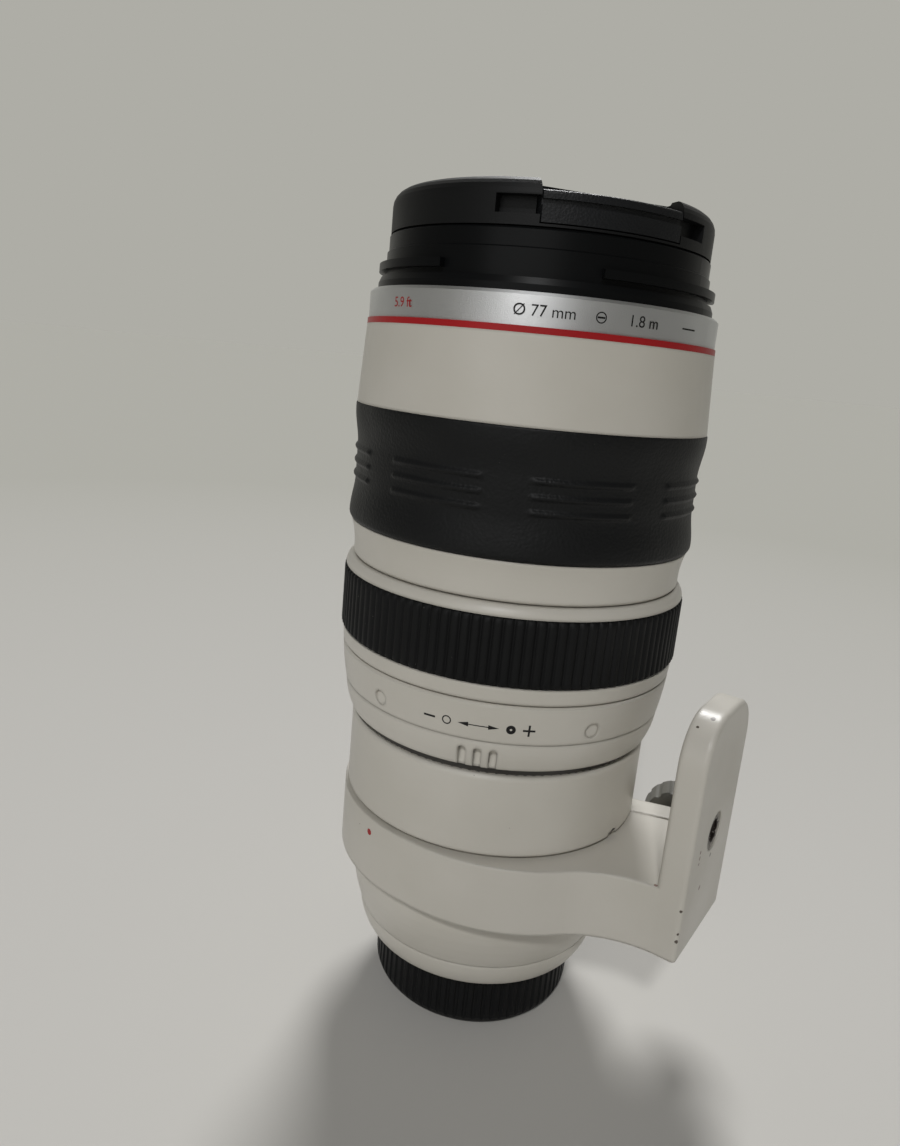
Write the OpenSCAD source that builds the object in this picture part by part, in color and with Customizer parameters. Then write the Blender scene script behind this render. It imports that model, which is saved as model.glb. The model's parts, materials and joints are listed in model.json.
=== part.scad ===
// Push-pull telephoto zoom lens with a rotating tripod collar, standing on its rear cap.
// +Z is the optical axis towards the front, +X points to the tripod foot, z = 0 is the resting face.

/* [Rear end] */
// Height of the rear cap
rear_cap_h = 18.4; // [16:0.1:22]
// Wall of the rear cap
rear_cap_wall = 1.7; // [1.4:0.1:2.6]
// Rounding of the rear cap's bottom edge
rear_cap_round = 5; // [2:0.5:6]
// Grip ribs round the rear cap
rear_cap_ribs = 72; // [36:4:90]
// How far the mount flange stands out of the bayonet tube
flange_out = 6.8; // [6:0.1:8]
// Thickness of the mount flange
flange_t = 2.5; // [2:0.1:3]
// Outer radius of the bayonet tube
bayonet_r = 25.2; // [24:0.1:26]
// Wall of the bayonet tube
bayonet_wall = 1.9; // [1.5:0.1:2.4]
// Height of the bayonet tube below the flange
bayonet_h = 6.2; // [5.5:0.1:7]
// How far the bayonet lugs stand out
lug_out = 1.6; // [1.2:0.1:1.8]
// Height of the bayonet lugs
lug_h = 1.8; // [1.4:0.1:2]
// Angle of each bayonet lug
lug_angle = 52; // [40:1:58]
// Clearance round the bayonet lugs in the rear cap
lug_clear = 0.4; // [0.3:0.05:0.8]
// Height of the ring round the mount flange
end_ring_h = 6.7; // [6:0.1:9]
// How far that ring's top stands out of the flange
end_ring_t = 3.2; // [2.6:0.1:4]
// Height of the tapered rear barrel up to the collar
rear_taper_h = 17.8; // [16:0.1:22]

/* [Tripod collar] */
// Width of the collar along the lens
collar_w = 17.8; // [15:0.1:20]
// Thickness of the collar with its liner
collar_t = 3.7; // [3.2:0.1:4.8]
// How far the collar's seat lies inside the main barrel's surface
seat_step = 3; // [2.6:0.1:3.4]
// Thickness of the collar's liner
liner_t = 0.7; // [0.5:0.1:0.9]
// How far across the lens axis the arm's bulging side is centred
bulge_off = 5; // [3:0.5:8]
// How far towards the foot it is centred
bulge_lead = 4; // [3:0.5:6]
// Distance from the lens axis to the foot's outer face
foot_reach = 65.5; // [62:0.5:75]
// Thickness of the foot plate
foot_t = 7.2; // [6:0.1:8]
// Width of the foot plate
foot_w = 33.6; // [30:0.2:36]
// Height of the foot plate
foot_h = 61.3; // [56:0.1:80]
// Corner radius of the foot's free end
foot_corner = 12; // [8:0.5:15]
// Rounding of the foot plate's edges
foot_edge = 1.2; // [0.6:0.1:2]
// Height of the tripod thread above the foot's lower end
thread_up = 28.2; // [24:0.1:36]
// Radius of the threaded tripod bush
bush_r = 5; // [4.5:0.1:6]
// Wall radius of the tripod thread's hole
thread_r = 2.55; // [2.5:0.01:2.6]
// Width of the clamp slit
slit_w = 0.8; // [0.6:0.1:1.2]
// How far the slit's plane passes clear of the foot's inner corner
slit_lead = 1.6; // [1.2:0.1:3]
// Thickness of the clamp ear beyond the slit
ear_t = 7; // [5:0.5:10]
// Height of the clamp screw above the collar's lower edge
clamp_up = 10.3; // [8:0.1:12]
// Radius of the clamp screw
clamp_screw_r = 3; // [2.5:0.1:3.5]
// Gap between the collar and the edge of the clamp knob
knob_room = 2.6; // [1:0.1:5]
// Radius of the clamp knob
knob_r = 9.5; // [8.5:0.1:11]
// Height of the clamp knob's head
knob_h = 10; // [8:0.5:12]
// Length of the clamp knob's neck
knob_neck = 4; // [2:0.5:6]
// Flutes round the clamp knob
knob_flutes = 14; // [8:1:18]

/* [Main barrel] */
// How far the main barrel stands out of the scale tube
barrel_out = 0.2; // [0.1:0.05:0.8]
// Wall of the main barrel
barrel_wall = 1.1; // [0.9:0.1:1.3]
// Height of the main barrel
barrel_h = 21.8; // [20:0.1:26]
// Width of the index notch in its lower edge
index_w = 4; // [1.5:0.1:5]
// Half angle of the distance window
window_angle = 20; // [14:1:24]
// Height of the distance window
window_h = 9; // [7:0.5:10]
// Half angle of the switch panel
panel_angle = 26; // [25:1:30]
// Height of the switch panel
panel_h = 17; // [15:0.5:18]
// How far the switch panel stands out
panel_t = 0.9; // [0.6:0.1:1.2]
// Length of a switch along the lens
switch_l = 5; // [4:0.5:6]
// Width of a switch
switch_w = 3; // [2:0.1:3.4]
// How far a switch stands out of its panel
switch_out = 1.5; // [1:0.1:2]
// Travel of a switch
switch_travel = 3; // [2:0.5:4]

/* [Tension ring] */
// Gap between the main barrel and the zoom tension ring
tension_gap = 2.1; // [0.8:0.1:2.6]
// Height of the zoom tension ring
tension_h = 17.5; // [16:0.1:20]
// Wall at its upper edge
tension_top_t = 3.8; // [3.4:0.1:4.4]
// Wall at the line between its two bands
tension_mid_t = 2.6; // [2.2:0.1:3]
// Wall at its lower edge
tension_low_t = 0.7; // [0.6:0.1:1.4]
// Height of its lower, tapered band
tension_band_h = 7.3; // [6.5:0.1:9]
// Round plugs in its upper band
plug_count = 5; // [3:1:8]
// Radius of the round plugs
plug_r = 1.9; // [1.4:0.1:2.2]
// Width of a thumb groove in the lower band
groove_w = 2; // [1.4:0.1:2.6]
// Length of a thumb groove
groove_l = 5.4; // [4:0.1:6]
// Angle between neighbouring thumb grooves
groove_step = 5.05; // [4.5:0.05:6]

/* [Focus ring] */
// Height of the focus ring
focus_h = 23.5; // [22:0.1:26]
// Height of its bare skirt below the rubber
focus_skirt_h = 4.1; // [3:0.1:5]
// Height of its rubber
focus_rubber_h = 16.8; // [15:0.1:17.5]
// Wall of the ring out to the rubber's ribs
focus_t = 4.7; // [4.3:0.1:5.2]
// Depth of the grooves between the ribs
focus_rib_depth = 0.7; // [0.4:0.1:0.9]
// Ribs round the focus ring
focus_ribs = 114; // [90:2:130]

/* [Zoom sleeve] */
// Height of the sliding sleeve up to the accent ring
sleeve_h = 58.7; // [57:0.1:66]
// Wall at its lower lip
sleeve_low_t = 2.5; // [2.2:0.1:3]
// Wall at the zoom grip
sleeve_grip_t = 4.2; // [3.8:0.1:4.6]
// Wall at its top
sleeve_top_t = 3; // [2.6:0.1:3.6]
// Height of the bare stretch below the grip
sleeve_skirt_h = 9.6; // [8:0.1:12]
// Height of the zoom grip
grip_h = 29.7; // [27:0.1:32]
// Wall out to the grip's two rims
grip_t = 4.4; // [4:0.1:4.8]
// Depth of the grip's waist
grip_waist = 1; // [0.4:0.1:1.4]
// Rib groups round the grip
grip_groups = 8; // [5:1:9]
// Share of each group's angle that the ribs fill
grip_fill = 0.73; // [0.6:0.01:0.85]
// Ribs in a group
grip_rows = 3; // [1:1:4]
// Distance between ribs along the lens
grip_pitch = 3.5; // [3:0.1:4]
// Height of a rib
grip_rib = 0.6; // [0.3:0.1:0.8]

/* [Front] */
// Height of the accent ring
accent_h = 1.4; // [1:0.1:2]
// Height of the name ring
name_h = 7; // [6:0.1:8]
// Wall out to the name ring's face
name_t = 2.7; // [2.3:0.1:3.2]
// Height of the filter ring
filter_h = 13.1; // [12.5:0.1:15]
// How far the filter thread's bore lies inside the scale tube
filter_in = 2.5; // [2.2:0.05:2.8]
// Wall of the filter ring
filter_t = 1.7; // [1.4:0.1:2]
// How far the hood bayonet stands out of the filter ring
hood_out = 2.1; // [1.6:0.1:2.6]
// Height of the front cap above the filter ring
front_cap_h = 10; // [9:0.1:12]
// How far the front cap's side lies inside the filter ring's
front_cap_in = 0.2; // [0.1:0.05:0.6]
// Rounding of the front cap's top edge
front_cap_round = 3.6; // [2:0.1:4]
// Half angle of a release tab
tab_angle = 24; // [20:0.5:28]
// Depth of a release tab
tab_depth = 9; // [8:0.5:10]
// How far a release tab's top lies below the cap's rim
tab_drop = 2.7; // [2:0.1:4]
// Angle of the finger notch beside a tab
notch_angle = 14.5; // [10:0.5:18]
// Depth of the finger notch
notch_depth = 2.6; // [1.5:0.1:3]
// Inward travel of a release tab
tab_travel = 2.5; // [1.5:0.1:3]

/* [Zoom drive] */
// Outer radius of the fixed scale tube
tube_r = 41; // [40.9:0.05:41.1]
// Wall of the nested tubes
tube_wall = 1.2; // [1:0.05:1.25]
// Gap between nested tubes
tube_gap = 0.4; // [0.3:0.05:0.45]
// Travel of the zoom sleeve
zoom_travel = 60; // [50:1:60]
// Angle that the cam barrel turns over that travel
cam_angle = 60; // [50:1:62]
// Travel of the variator group
variator_travel = 21; // [16:0.5:24]
// Diameter of the cam followers
pin_d = 4; // [3:0.1:4.4]

/* [Fits] */
// Running gap between turning rings and what they turn on
run_gap = 0.3; // [0.2:0.05:0.35]
// Gap between neighbouring rings along the lens
ring_gap = 0.4; // [0.3:0.1:0.6]
// Gap between the collar and the main barrel
seam_gap = 0.7; // [0.4:0.1:1]
// Radial clearance of rods and screws in their bores
rod_gap = 0.1; // [0.05:0.01:0.1]

/* [Hidden] */
$fn = 96;
eps = 0.01;

// Paints and finishes
paint = [0.80, 0.78, 0.72];
black = [0.07, 0.07, 0.08];
rubber = [0.10, 0.10, 0.11];
silver = [0.62, 0.62, 0.63];
steel = [0.72, 0.72, 0.74];
brass = [0.76, 0.62, 0.32];
alloy = [0.45, 0.45, 0.48];
red = [0.78, 0.10, 0.10];
glass = [0.55, 0.72, 0.75, 0.5];
board = [0.10, 0.35, 0.20];

// Heights of the seams along the lens
z_flange = rear_cap_h + run_gap;
z_end = z_flange + end_ring_h;
z_collar = z_end + rear_taper_h;
z_barrel = z_collar + collar_w + seam_gap;
z_barrel_top = z_barrel + barrel_h;
z_tension = z_barrel_top + tension_gap;
z_focus = z_tension + tension_h + ring_gap;
z_sleeve = z_focus + focus_h + ring_gap;
z_grip = z_sleeve + sleeve_skirt_h;
z_accent = z_sleeve + sleeve_h;
z_name = z_accent + accent_h;
z_filter = z_name + name_h;
z_front = z_filter + filter_h;
z_cap = z_front + run_gap;
z_cap_top = z_cap + front_cap_h;

// Radii of the rear end, from the bayonet outwards
throat_r = bayonet_r - bayonet_wall;
rear_cap_in = bayonet_r + lug_out + lug_clear;
rear_cap_r = rear_cap_in + rear_cap_wall;
flange_r = bayonet_r + flange_out;
end_ring_r = flange_r + end_ring_t;

// Radii of the barrel and the collar, from the scale tube
barrel_r = tube_r + barrel_out;
seat_r = barrel_r - seat_step;
collar_r = seat_r + collar_t;

// Radii of the nested tubes, from the scale tube inwards
barrel_in = barrel_r - barrel_wall;
spigot_in = barrel_in - tube_wall;
scale_in = tube_r - tube_wall;
sleeve_bore = tube_r + tube_gap;
ring_bore = tube_r + run_gap;
cell_tube_r = scale_in - tube_gap;
cell_tube_in = cell_tube_r - tube_wall;
guide_r = cell_tube_in - tube_gap;
guide_in = guide_r - tube_wall;
cam_r = guide_in - tube_gap;
cam_in = cam_r - tube_wall;
group_r = cam_in - tube_gap;

// Radii of the rings that run on the scale tube
tension_low_r = ring_bore + tension_low_t;
tension_mid_r = ring_bore + tension_mid_t;
tension_top_r = ring_bore + tension_top_t;
focus_r = ring_bore + focus_t;
sleeve_low_r = sleeve_bore + sleeve_low_t;
sleeve_grip_r = sleeve_bore + sleeve_grip_t;
sleeve_top_r = sleeve_bore + sleeve_top_t;
grip_r = sleeve_bore + grip_t;
name_r = sleeve_bore + name_t;
filter_bore = tube_r - filter_in;
filter_r = filter_bore + filter_t;
hood_r = filter_r + hood_out;
front_cap_r = filter_r - front_cap_in;

// Directions round the lens
groove_dir = -65.5;
tab_dir = -40;
index_dir = -6;
grip_dir = -59.2;
window_dir = 180;
panel_dir = 90;
stop_dir = -146;
hood_dir = -129;
lug_dir = 40;

// Rear barrel and what it holds
barrel_seam = 3;
shelf_r = 26;
shelf_h = 2.5;
lower_bore = end_ring_r - 2.4;
seat_in = seat_r - 1.6;
z_shelf = z_end + shelf_h;
z_ledge = z_collar - 2;
z_deck = z_barrel + barrel_seam;
deck_h = 2.5;
deck_in = 30;

// Rear group
rear_cell_in = 21.5;
rear_cell_r = 24;
rear_cell_h = 12;
rear_flange_r = 31;

// Stabiliser
stab_off = 24;
stab_rod_r = 1.2;
stab_leg = 12;
stab_plate_h = 4;
z_stab_plate = z_deck - deck_h - stab_plate_h;
z_stab_rod = z_stab_plate - 3.5;
stab_cell_r = 20;
stab_lens_r = 15.5;
stab_block = 5;

// Focus motor, drum and iris
motor_in = 33;
motor_r = 37.4;
stator_h = 4.5;
rotor_h = 2.7;
drum_web = 1.5;
drum_r = barrel_in - tube_gap;
z_rotor = z_deck + stator_h + run_gap;
iris_r = motor_in - 0.6;
iris_in = 22;
iris_h = 6.5;
iris_blade_t = 0.4;

// Zoom drive
pin_gap = 0.4;
z_guide = z_barrel_top - 0.6;
guide_flange_h = 3;
guide_lip = 33.5;
neck_h = 0.8;
z_neck = z_tension + neck_h;
z_cell_low = z_neck + tube_gap;
slots = 3;
z_zoom_pin = z_cell_low + 4;
z_guide_top = z_zoom_pin + zoom_travel + pin_d + 1;
z_cam = z_guide + run_gap;
z_variator = z_zoom_pin + 22;
variator_h = 12;
focus_cell_h = 10;
z_focus_cell = z_guide + 2.5;
focus_travel = 5;
focus_base_h = 3;
rod_r = 1.2;
rod_ring = 30;
z_scale_top = z_filter - 2;
band_t = 1;
band_h = 6;
z_band = z_tension + tension_band_h + 1.4;

// Front group
cell_step = 2.3;
z_front_seat = z_guide_top + 3;

function fold(list) = [for (part = list) each part];
function arc(centre, r, from, to, steps = 5) =
    [for (i = [0 : steps])
        let (angle = from + (to - from) * i / steps)
        centre + r * [cos(angle), sin(angle)]];
// A bow between two points, with its middle pushed to the right of the line by the given height
function bow(a, b, height, steps = 6) =
    let (side = [b.y - a.y, a.x - b.x] / norm(b - a))
    [for (i = [0 : steps]) a + (b - a) * i / steps + side * height * 4 * (i / steps) * (1 - i / steps)];

module lathe(points) {
    rotate_extrude() polygon(points);
}

module ring(outer, inner, low, high) {
    rotate_extrude() translate([inner, low]) square([outer - inner, high - low]);
}

module arc_ring(outer, inner, low, high, from, to) {
    rotate([0, 0, from])
        rotate_extrude(angle = to - from)
            translate([inner, low]) square([outer - inner, high - low]);
}

module around(count, start = 0) {
    for (i = [0 : count - 1]) rotate([0, 0, start + 360 / count * i]) children();
}

module radial_pin(from, to, z, d) {
    translate([from, 0, z]) rotate([0, 90, 0]) cylinder(h = to - from, d = d);
}

// A straight slot with round ends through a tube wall, along the lens
module axial_slot(inner, outer, low, high, width) {
    translate([inner, -width / 2, low]) cube([outer - inner, width, high - low]);
    radial_pin(inner, outer, low, width);
    radial_pin(inner, outer, high, width);
}

// A helical slot whose angle falls by `turn` while it rises by `rise`, wide enough for a follower
module helical_slot(inner, outer, z, rise, turn) {
    slope = turn * PI / 180 * (inner + outer) / 2 / rise;
    width = (pin_d + 2 * pin_gap) * sqrt(1 + slope * slope);
    over = (pin_d / 2 + pin_gap) / sqrt(1 + slope * slope) + pin_d / 4;
    extra = turn * over / rise;
    translate([0, 0, z - over])
        rotate([0, 0, extra])
            linear_extrude(height = rise + 2 * over, twist = turn + 2 * extra, slices = 26, $fn = 6)
                translate([inner, -width / 2]) square([outer - inner, width]);
}

// A lens element with two spherical faces, given by the heights of their crowns (negative is hollow)
module element(r, low, thickness, low_crown, high_crown) {
    steps = 8;
    lower = [for (i = [0 : steps]) [r * i / steps, low - low_crown * (1 - pow(i / steps, 2))]];
    high = low + thickness;
    upper = [for (i = [steps : -1 : 0]) [r * i / steps, high + high_crown * (1 - pow(i / steps, 2))]];
    lathe(fold([lower, upper]));
}

// A ring of upright ribs as a flat outline
module ribbed_disc(outer, depth, count) {
    step = 360 / count;
    polygon([for (i = [0 : count - 1]) each [
        for (corner = [[0, -depth], [0.18, 0], [0.62, 0], [0.8, -depth]])
            (outer + corner.y) * [cos(step * (i + corner.x)), sin(step * (i + corner.x))]
    ]]);
}

// Rear end

module rear_cap() color(black) {
    rib = 0.4;
    lug_z = z_flange - run_gap - 3.2;
    intersection() {
        linear_extrude(height = rear_cap_h) ribbed_disc(rear_cap_r, rib, rear_cap_ribs);
        lathe(fold([
            [[0, 0], [rear_cap_r - rear_cap_round, 0]],
            arc([rear_cap_r - rear_cap_round, rear_cap_round], rear_cap_round, -75, 0),
            [[rear_cap_r, rear_cap_h], [rear_cap_in, rear_cap_h], [rear_cap_in, rear_cap_wall + 2]],
            [[rear_cap_in - 2, rear_cap_wall], [0, rear_cap_wall]]
        ]));
    }
    around(3, lug_dir)
        arc_ring(rear_cap_in + rib / 2, bayonet_r + run_gap, lug_z, lug_z + 2, -lug_angle / 2, lug_angle / 2);
}

module lens_mount() color(steel) difference() {
    z_low = z_flange - bayonet_h;
    z_high = z_flange + flange_t;
    union() {
        lathe([
            [throat_r, z_low], [bayonet_r, z_low], [bayonet_r, z_flange], [flange_r, z_flange],
            [flange_r, z_high], [throat_r, z_high]
        ]);
        around(3, lug_dir)
            arc_ring(bayonet_r + lug_out, bayonet_r - 1, z_low, z_low + lug_h, -lug_angle / 2, lug_angle / 2);
    }
    around(4, 45) mount_screw();
}

// Countersunk screw from the flange up into the end ring
module mount_screw() {
    head_r = 1.7;
    shank_r = 1;
    length = flange_t + 3;
    translate([(flange_r + bayonet_r) / 2, 0, z_flange])
        lathe([[0, 0], [head_r, 0], [shank_r, head_r - shank_r], [shank_r, length], [0, length]]);
}

module mount_screws() color(steel) around(4, 45) mount_screw();

module contact_block() color(black)
    arc_ring(throat_r, throat_r - 3.3, z_flange - bayonet_h + 0.3, z_flange, panel_dir - 35, panel_dir + 35);

module contact_pins() color(brass)
    for (i = [-3.5 : 3.5])
        rotate([0, 0, panel_dir + i * 7.4])
            translate([throat_r - 1.65, 0, z_flange - bayonet_h - 0.3]) cylinder(h = 0.6, r = 0.9);

module rear_baffle() color(black) difference() {
    ring(throat_r, 15, z_flange, z_end + shelf_h);
    translate([-15.5, -11, z_flange - 1]) cube([31, 22, end_ring_h + shelf_h + 2]);
}

module end_ring() color(paint) difference() {
    lathe(fold([
        [[flange_r, z_flange]],
        bow([flange_r + 1.2, z_flange], [end_ring_r, z_end], 0.5),
        [[shelf_r, z_end], [shelf_r, z_flange + flange_t], [flange_r, z_flange + flange_t]]
    ]));
    around(4, 45) mount_screw();
}

module rear_barrel() color(paint) {
    lathe(fold([
        [[shelf_r, z_end]],
        bow([end_ring_r, z_end], [seat_r, z_collar - 1], 0.9),
        [[seat_r, z_deck], [deck_in, z_deck], [deck_in, z_deck - deck_h], [seat_in, z_deck - deck_h]],
        [[seat_in, z_ledge], [lower_bore, z_ledge], [lower_bore, z_shelf], [shelf_r, z_shelf]]
    ]));
    // Stop that keeps the collar from sliding off backwards
    stop_z = z_collar - 6;
    rotate([0, 0, stop_dir])
        difference() {
            translate([0, 0, stop_z]) rotate([0, 90, 0]) cylinder(h = seat_r + 1.6, r = 2.4);
            translate([0, 0, stop_z]) rotate([0, 90, 0]) cylinder(h = lower_bore + 2, r = 3);
        }
}

module rear_cell() color(alloy) {
    ring(rear_cell_r, rear_cell_in, z_shelf, z_shelf + rear_cell_h);
    ring(rear_flange_r, rear_cell_in, z_shelf, z_shelf + 2);
}

module rear_elements() color(glass) {
    element(rear_cell_in, z_shelf + 2, 2.5, 0.8, 1.2);
    element(rear_cell_in, z_shelf + 7, 2.5, -0.8, 1);
}

module main_board() color(board) difference() {
    ring(seat_in, rear_cell_r + 2, z_ledge, z_ledge + 1.6);
    translate([-seat_in - 1, -6, z_ledge - 1]) cube([6, 12, 4]);
}

// Stabiliser: a crossed guide rod carries the lens frame sideways under its plate

module stabiliser_base() color(black) {
    ring(seat_in, stab_cell_r + 4, z_stab_plate, z_stab_plate + stab_plate_h);
    for (x = [-8, 8])
        translate([x - stab_block / 2, -stab_off - 2.6, z_stab_rod - 2.4])
            difference() {
                cube([stab_block, 5.2, z_stab_plate - z_stab_rod + 2.4 + eps]);
                translate([-1, 2.6, 2.4])
                    rotate([0, 90, 0]) cylinder(h = stab_block + 2, r = stab_rod_r + rod_gap);
            }
}

module stabiliser_guide() color(steel) {
    translate([-stab_off, -stab_off, z_stab_rod]) {
        rotate([0, 90, 0]) cylinder(h = stab_off + stab_leg, r = stab_rod_r);
        rotate([-90, 0, 0]) cylinder(h = stab_off + stab_leg, r = stab_rod_r);
        sphere(r = stab_rod_r);
    }
}

module stabiliser_cell() color(alloy) difference() {
    union() {
        ring(stab_cell_r, stab_lens_r, z_stab_rod - 7.5, z_stab_rod - 1.5);
        for (y = [-6, 6])
            translate([-stab_off - 2.4, y - stab_block / 2, z_stab_rod - 5])
                cube([stab_off - stab_lens_r - 1, stab_block, 7.4]);
    }
    translate([-stab_off, -stab_off, z_stab_rod])
        rotate([-90, 0, 0]) cylinder(h = 2 * stab_off, r = stab_rod_r + rod_gap);
    cylinder(h = z_stab_plate, r = stab_lens_r);
}

module stabiliser_element() color(glass)
    element(stab_lens_r, z_stab_rod - 6, 3, -0.8, -0.8);

// Main barrel with its distance window and switch panel

window_low = z_barrel + (barrel_h - window_h) / 2 + 1;

module main_barrel() color(paint) difference() {
    edge = 1.6;
    index_depth = 0.9;
    index_h = 1.4;
    lathe(fold([
        [[seat_r, z_barrel], [barrel_r - 0.6, z_barrel], [barrel_r, z_barrel + 0.6]],
        arc([barrel_r - edge, z_barrel_top - edge], edge, 0, 80),
        [[barrel_in, z_barrel_top], [barrel_in, z_deck], [seat_r, z_deck]]
    ]));
    arc_ring(barrel_r + 1, barrel_in - 1, window_low, window_low + window_h,
        window_dir - window_angle, window_dir + window_angle);
    // Index notch over the collar
    rotate([0, 0, index_dir])
        translate([barrel_r - index_depth, -index_w / 2, z_barrel - 1]) cube([2, index_w, 1 + index_h]);
}

module scale_window() color(glass)
    arc_ring(barrel_r - 0.2, barrel_in, window_low, window_low + window_h,
        window_dir - window_angle, window_dir + window_angle);

switch_step = 2 * panel_angle / 4.3;
panel_low = z_barrel + (barrel_h - panel_h) / 2;
switch_low = panel_low + (panel_h - switch_l - switch_travel) / 2;

module at_switch(index) {
    rotate([0, 0, panel_dir + (index - 1.5) * switch_step]) children();
}

module switch_plate() color(black) difference() {
    arc_ring(barrel_r + panel_t, barrel_r, panel_low, panel_low + panel_h,
        panel_dir - panel_angle, panel_dir + panel_angle);
    for (i = [0 : 3])
        at_switch(i)
            translate([barrel_r - 1, -switch_w / 2 - run_gap, switch_low - run_gap])
                cube([panel_t + 2, switch_w + 2 * run_gap, switch_l + switch_travel + 2 * run_gap]);
}

module slide_switch(index) {
    foot = 0.35;
    at_switch(index)
        translate([barrel_r + foot, -switch_w / 2, switch_low])
            difference() {
                cube([panel_t - foot + switch_out, switch_w, switch_l]);
                for (i = [1 : 3])
                    translate([panel_t - foot + switch_out, -1, switch_l * i / 4])
                        rotate([-90, 0, 0]) cylinder(h = switch_w + 2, r = 0.35);
            }
}

module focus_mode_switch() color(alloy) slide_switch(0);
module focus_range_switch() color(alloy) slide_switch(1);
module stabiliser_switch() color(alloy) slide_switch(2);
module stabiliser_mode_switch() color(alloy) slide_switch(3);

// Focus motor: a toothed ring under a turning ring that carries the distance scale

module motor_stator() color(brass) difference() {
    ring(motor_r, motor_in, z_deck, z_deck + stator_h);
    teeth = 36;
    around(teeth)
        translate([motor_in - 1, -0.35, z_deck + stator_h - 1.4]) cube([motor_r - motor_in + 2, 0.7, 2]);
}

module distance_drum() color(black) {
    web_z = z_rotor + rotor_h;
    skirt_top = z_guide - guide_flange_h - 2 * run_gap;
    lathe([
        [motor_in, z_rotor], [motor_r, z_rotor], [motor_r, web_z], [drum_r - 1, web_z],
        [drum_r - 1, z_deck + 2.2], [drum_r, z_deck + 2.2], [drum_r, skirt_top], [drum_r - 1, skirt_top],
        [drum_r - 1, web_z + drum_web], [motor_in, web_z + drum_web]
    ]);
}

module iris_housing() color(black) {
    ring(iris_r, iris_in, z_deck, z_deck + 2);
    ring(iris_r, iris_r - 2, z_deck + 2, z_deck + iris_h);
}

module iris_cover() color(black) ring(iris_r, iris_in, z_deck + iris_h, z_deck + iris_h + 1.2);

// Blades in two layers, pinned to the housing's floor and to its cover in turn
module iris_blades() color(alloy) {
    low = z_deck + 2;
    high = z_deck + iris_h;
    for (i = [0 : 7]) {
        under = i % 2 == 0;
        level = under ? low + 1 : high - 1 - iris_blade_t;
        rotate([0, 0, 45 * i]) {
            arc_ring(iris_r - 2.6, iris_in + 1, level, level + iris_blade_t, 0, 78);
            rotate([0, 0, 6])
                translate([iris_r - 5, 0, under ? low : level]) cylinder(h = 1 + iris_blade_t, r = 0.8);
        }
    }
}

// Tripod collar: a split ring whose arm bulges out of it and flares into a foot plate, with a clamp ear

z_foot = z_collar;
z_collar_top = z_collar + collar_w;
half_foot = foot_w / 2;
foot_in = foot_reach - foot_t;
collar_bore = seat_r + run_gap + liner_t;
z_thread = z_foot + thread_up;

// The clamp slit lies in a plane through the lens axis
slit_dir = atan((half_foot + slit_lead) / foot_in);
slit_line = [cos(slit_dir), sin(slit_dir)];
ear_out = slit_w / 2 + ear_t;
clamp_reach = collar_r + knob_room + knob_r;
clamp_blind = 8;
z_clamp = z_collar + clamp_up;
knob_low = ear_out + 2 * run_gap;

// The arm's side is an arc that comes out of the ring, then a hollow arc that runs into the foot's side.
// Each overlaps the next a little, so that their faces cross
arm_bite = 0.1;
arm_half = half_foot - arm_bite;
bulge_c = [bulge_lead, bulge_off];
bulge_r = collar_r + bulge_off;
flare_n = foot_in + foot_t / 2;
flare_run = flare_n - bulge_lead;
flare_rise = arm_half + bulge_off;
root_r = bulge_r - arm_bite;
flare_r = (pow(flare_run, 2) + pow(flare_rise, 2) - pow(root_r, 2)) / (2 * (root_r - flare_rise));
flare_c = [flare_n, -arm_half - flare_r];
arm_line = (flare_c - bulge_c) / norm(flare_c - bulge_c);
arm_dir = atan2(arm_line.y, arm_line.x);

module rounded_bar(width, height, r) {
    translate([r, 0]) square([width - 2 * r, height]);
    translate([0, r]) square([width, height - 2 * r]);
    for (x = [r, width - r], y = [r, height - r]) translate([x, y]) circle(r = r, $fn = 48);
}

// Half outline of a disc with rounded rims, for turning
module rounded_rim(radius, height, r) {
    square([radius - r, height]);
    translate([0, r]) square([radius, height - 2 * r]);
    for (y = [r, height - r]) translate([radius - r, y]) circle(r = r, $fn = 48);
}

module foot_plate() {
    z_corner = z_foot + foot_h - foot_corner;
    t_corner = half_foot - foot_corner;
    translate([foot_in, -half_foot, z_foot])
        linear_extrude(height = foot_h - foot_corner) rounded_bar(foot_t, foot_w, foot_edge);
    for (t = [-t_corner, t_corner])
        translate([foot_in, t, z_corner])
            rotate([0, 90, 0])
                rotate_extrude()
                    intersection() {
                        rounded_rim(foot_corner, foot_t, foot_edge);
                        square([foot_corner + 1, foot_t]);
                    }
    translate([foot_in, t_corner, z_corner - foot_corner])
        rotate([90, 0, 0])
            linear_extrude(height = 2 * t_corner) rounded_bar(foot_t, 2 * foot_corner, foot_edge);
}

// Flat outlines of the arm, the clamp ear and the slit between them

module arm_outline() {
    far = 2 * collar_r;
    intersection() {
        translate(bulge_c) circle(r = bulge_r);
        polygon([
            bulge_c, bulge_c + far * [cos(-110), sin(-110)], bulge_c + far * [cos(-70), sin(-70)],
            bulge_c + far * [cos(arm_dir + 10), sin(arm_dir + 10)]
        ]);
    }
    difference() {
        polygon([
            bulge_c + arm_line * bulge_r / 2, bulge_c + arm_line * (bulge_r - arm_bite / 2),
            [flare_n, -half_foot - 1], [flare_n, arm_half], slit_line * arm_half / sin(slit_dir),
            slit_line * collar_r / 2
        ]);
        translate(flare_c) circle(r = flare_r);
    }
}

module ear_outline() {
    corner = 5;
    ear_n = clamp_reach + knob_r - 2;
    rotate(slit_dir) {
        square([ear_n - corner, ear_out]);
        square([ear_n, ear_out - corner]);
        translate([ear_n - corner, ear_out - corner]) circle(r = corner);
    }
}

module slit_outline() {
    rotate(slit_dir) translate([collar_bore / 2, -slit_w / 2]) square([foot_reach, slit_w]);
}

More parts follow.
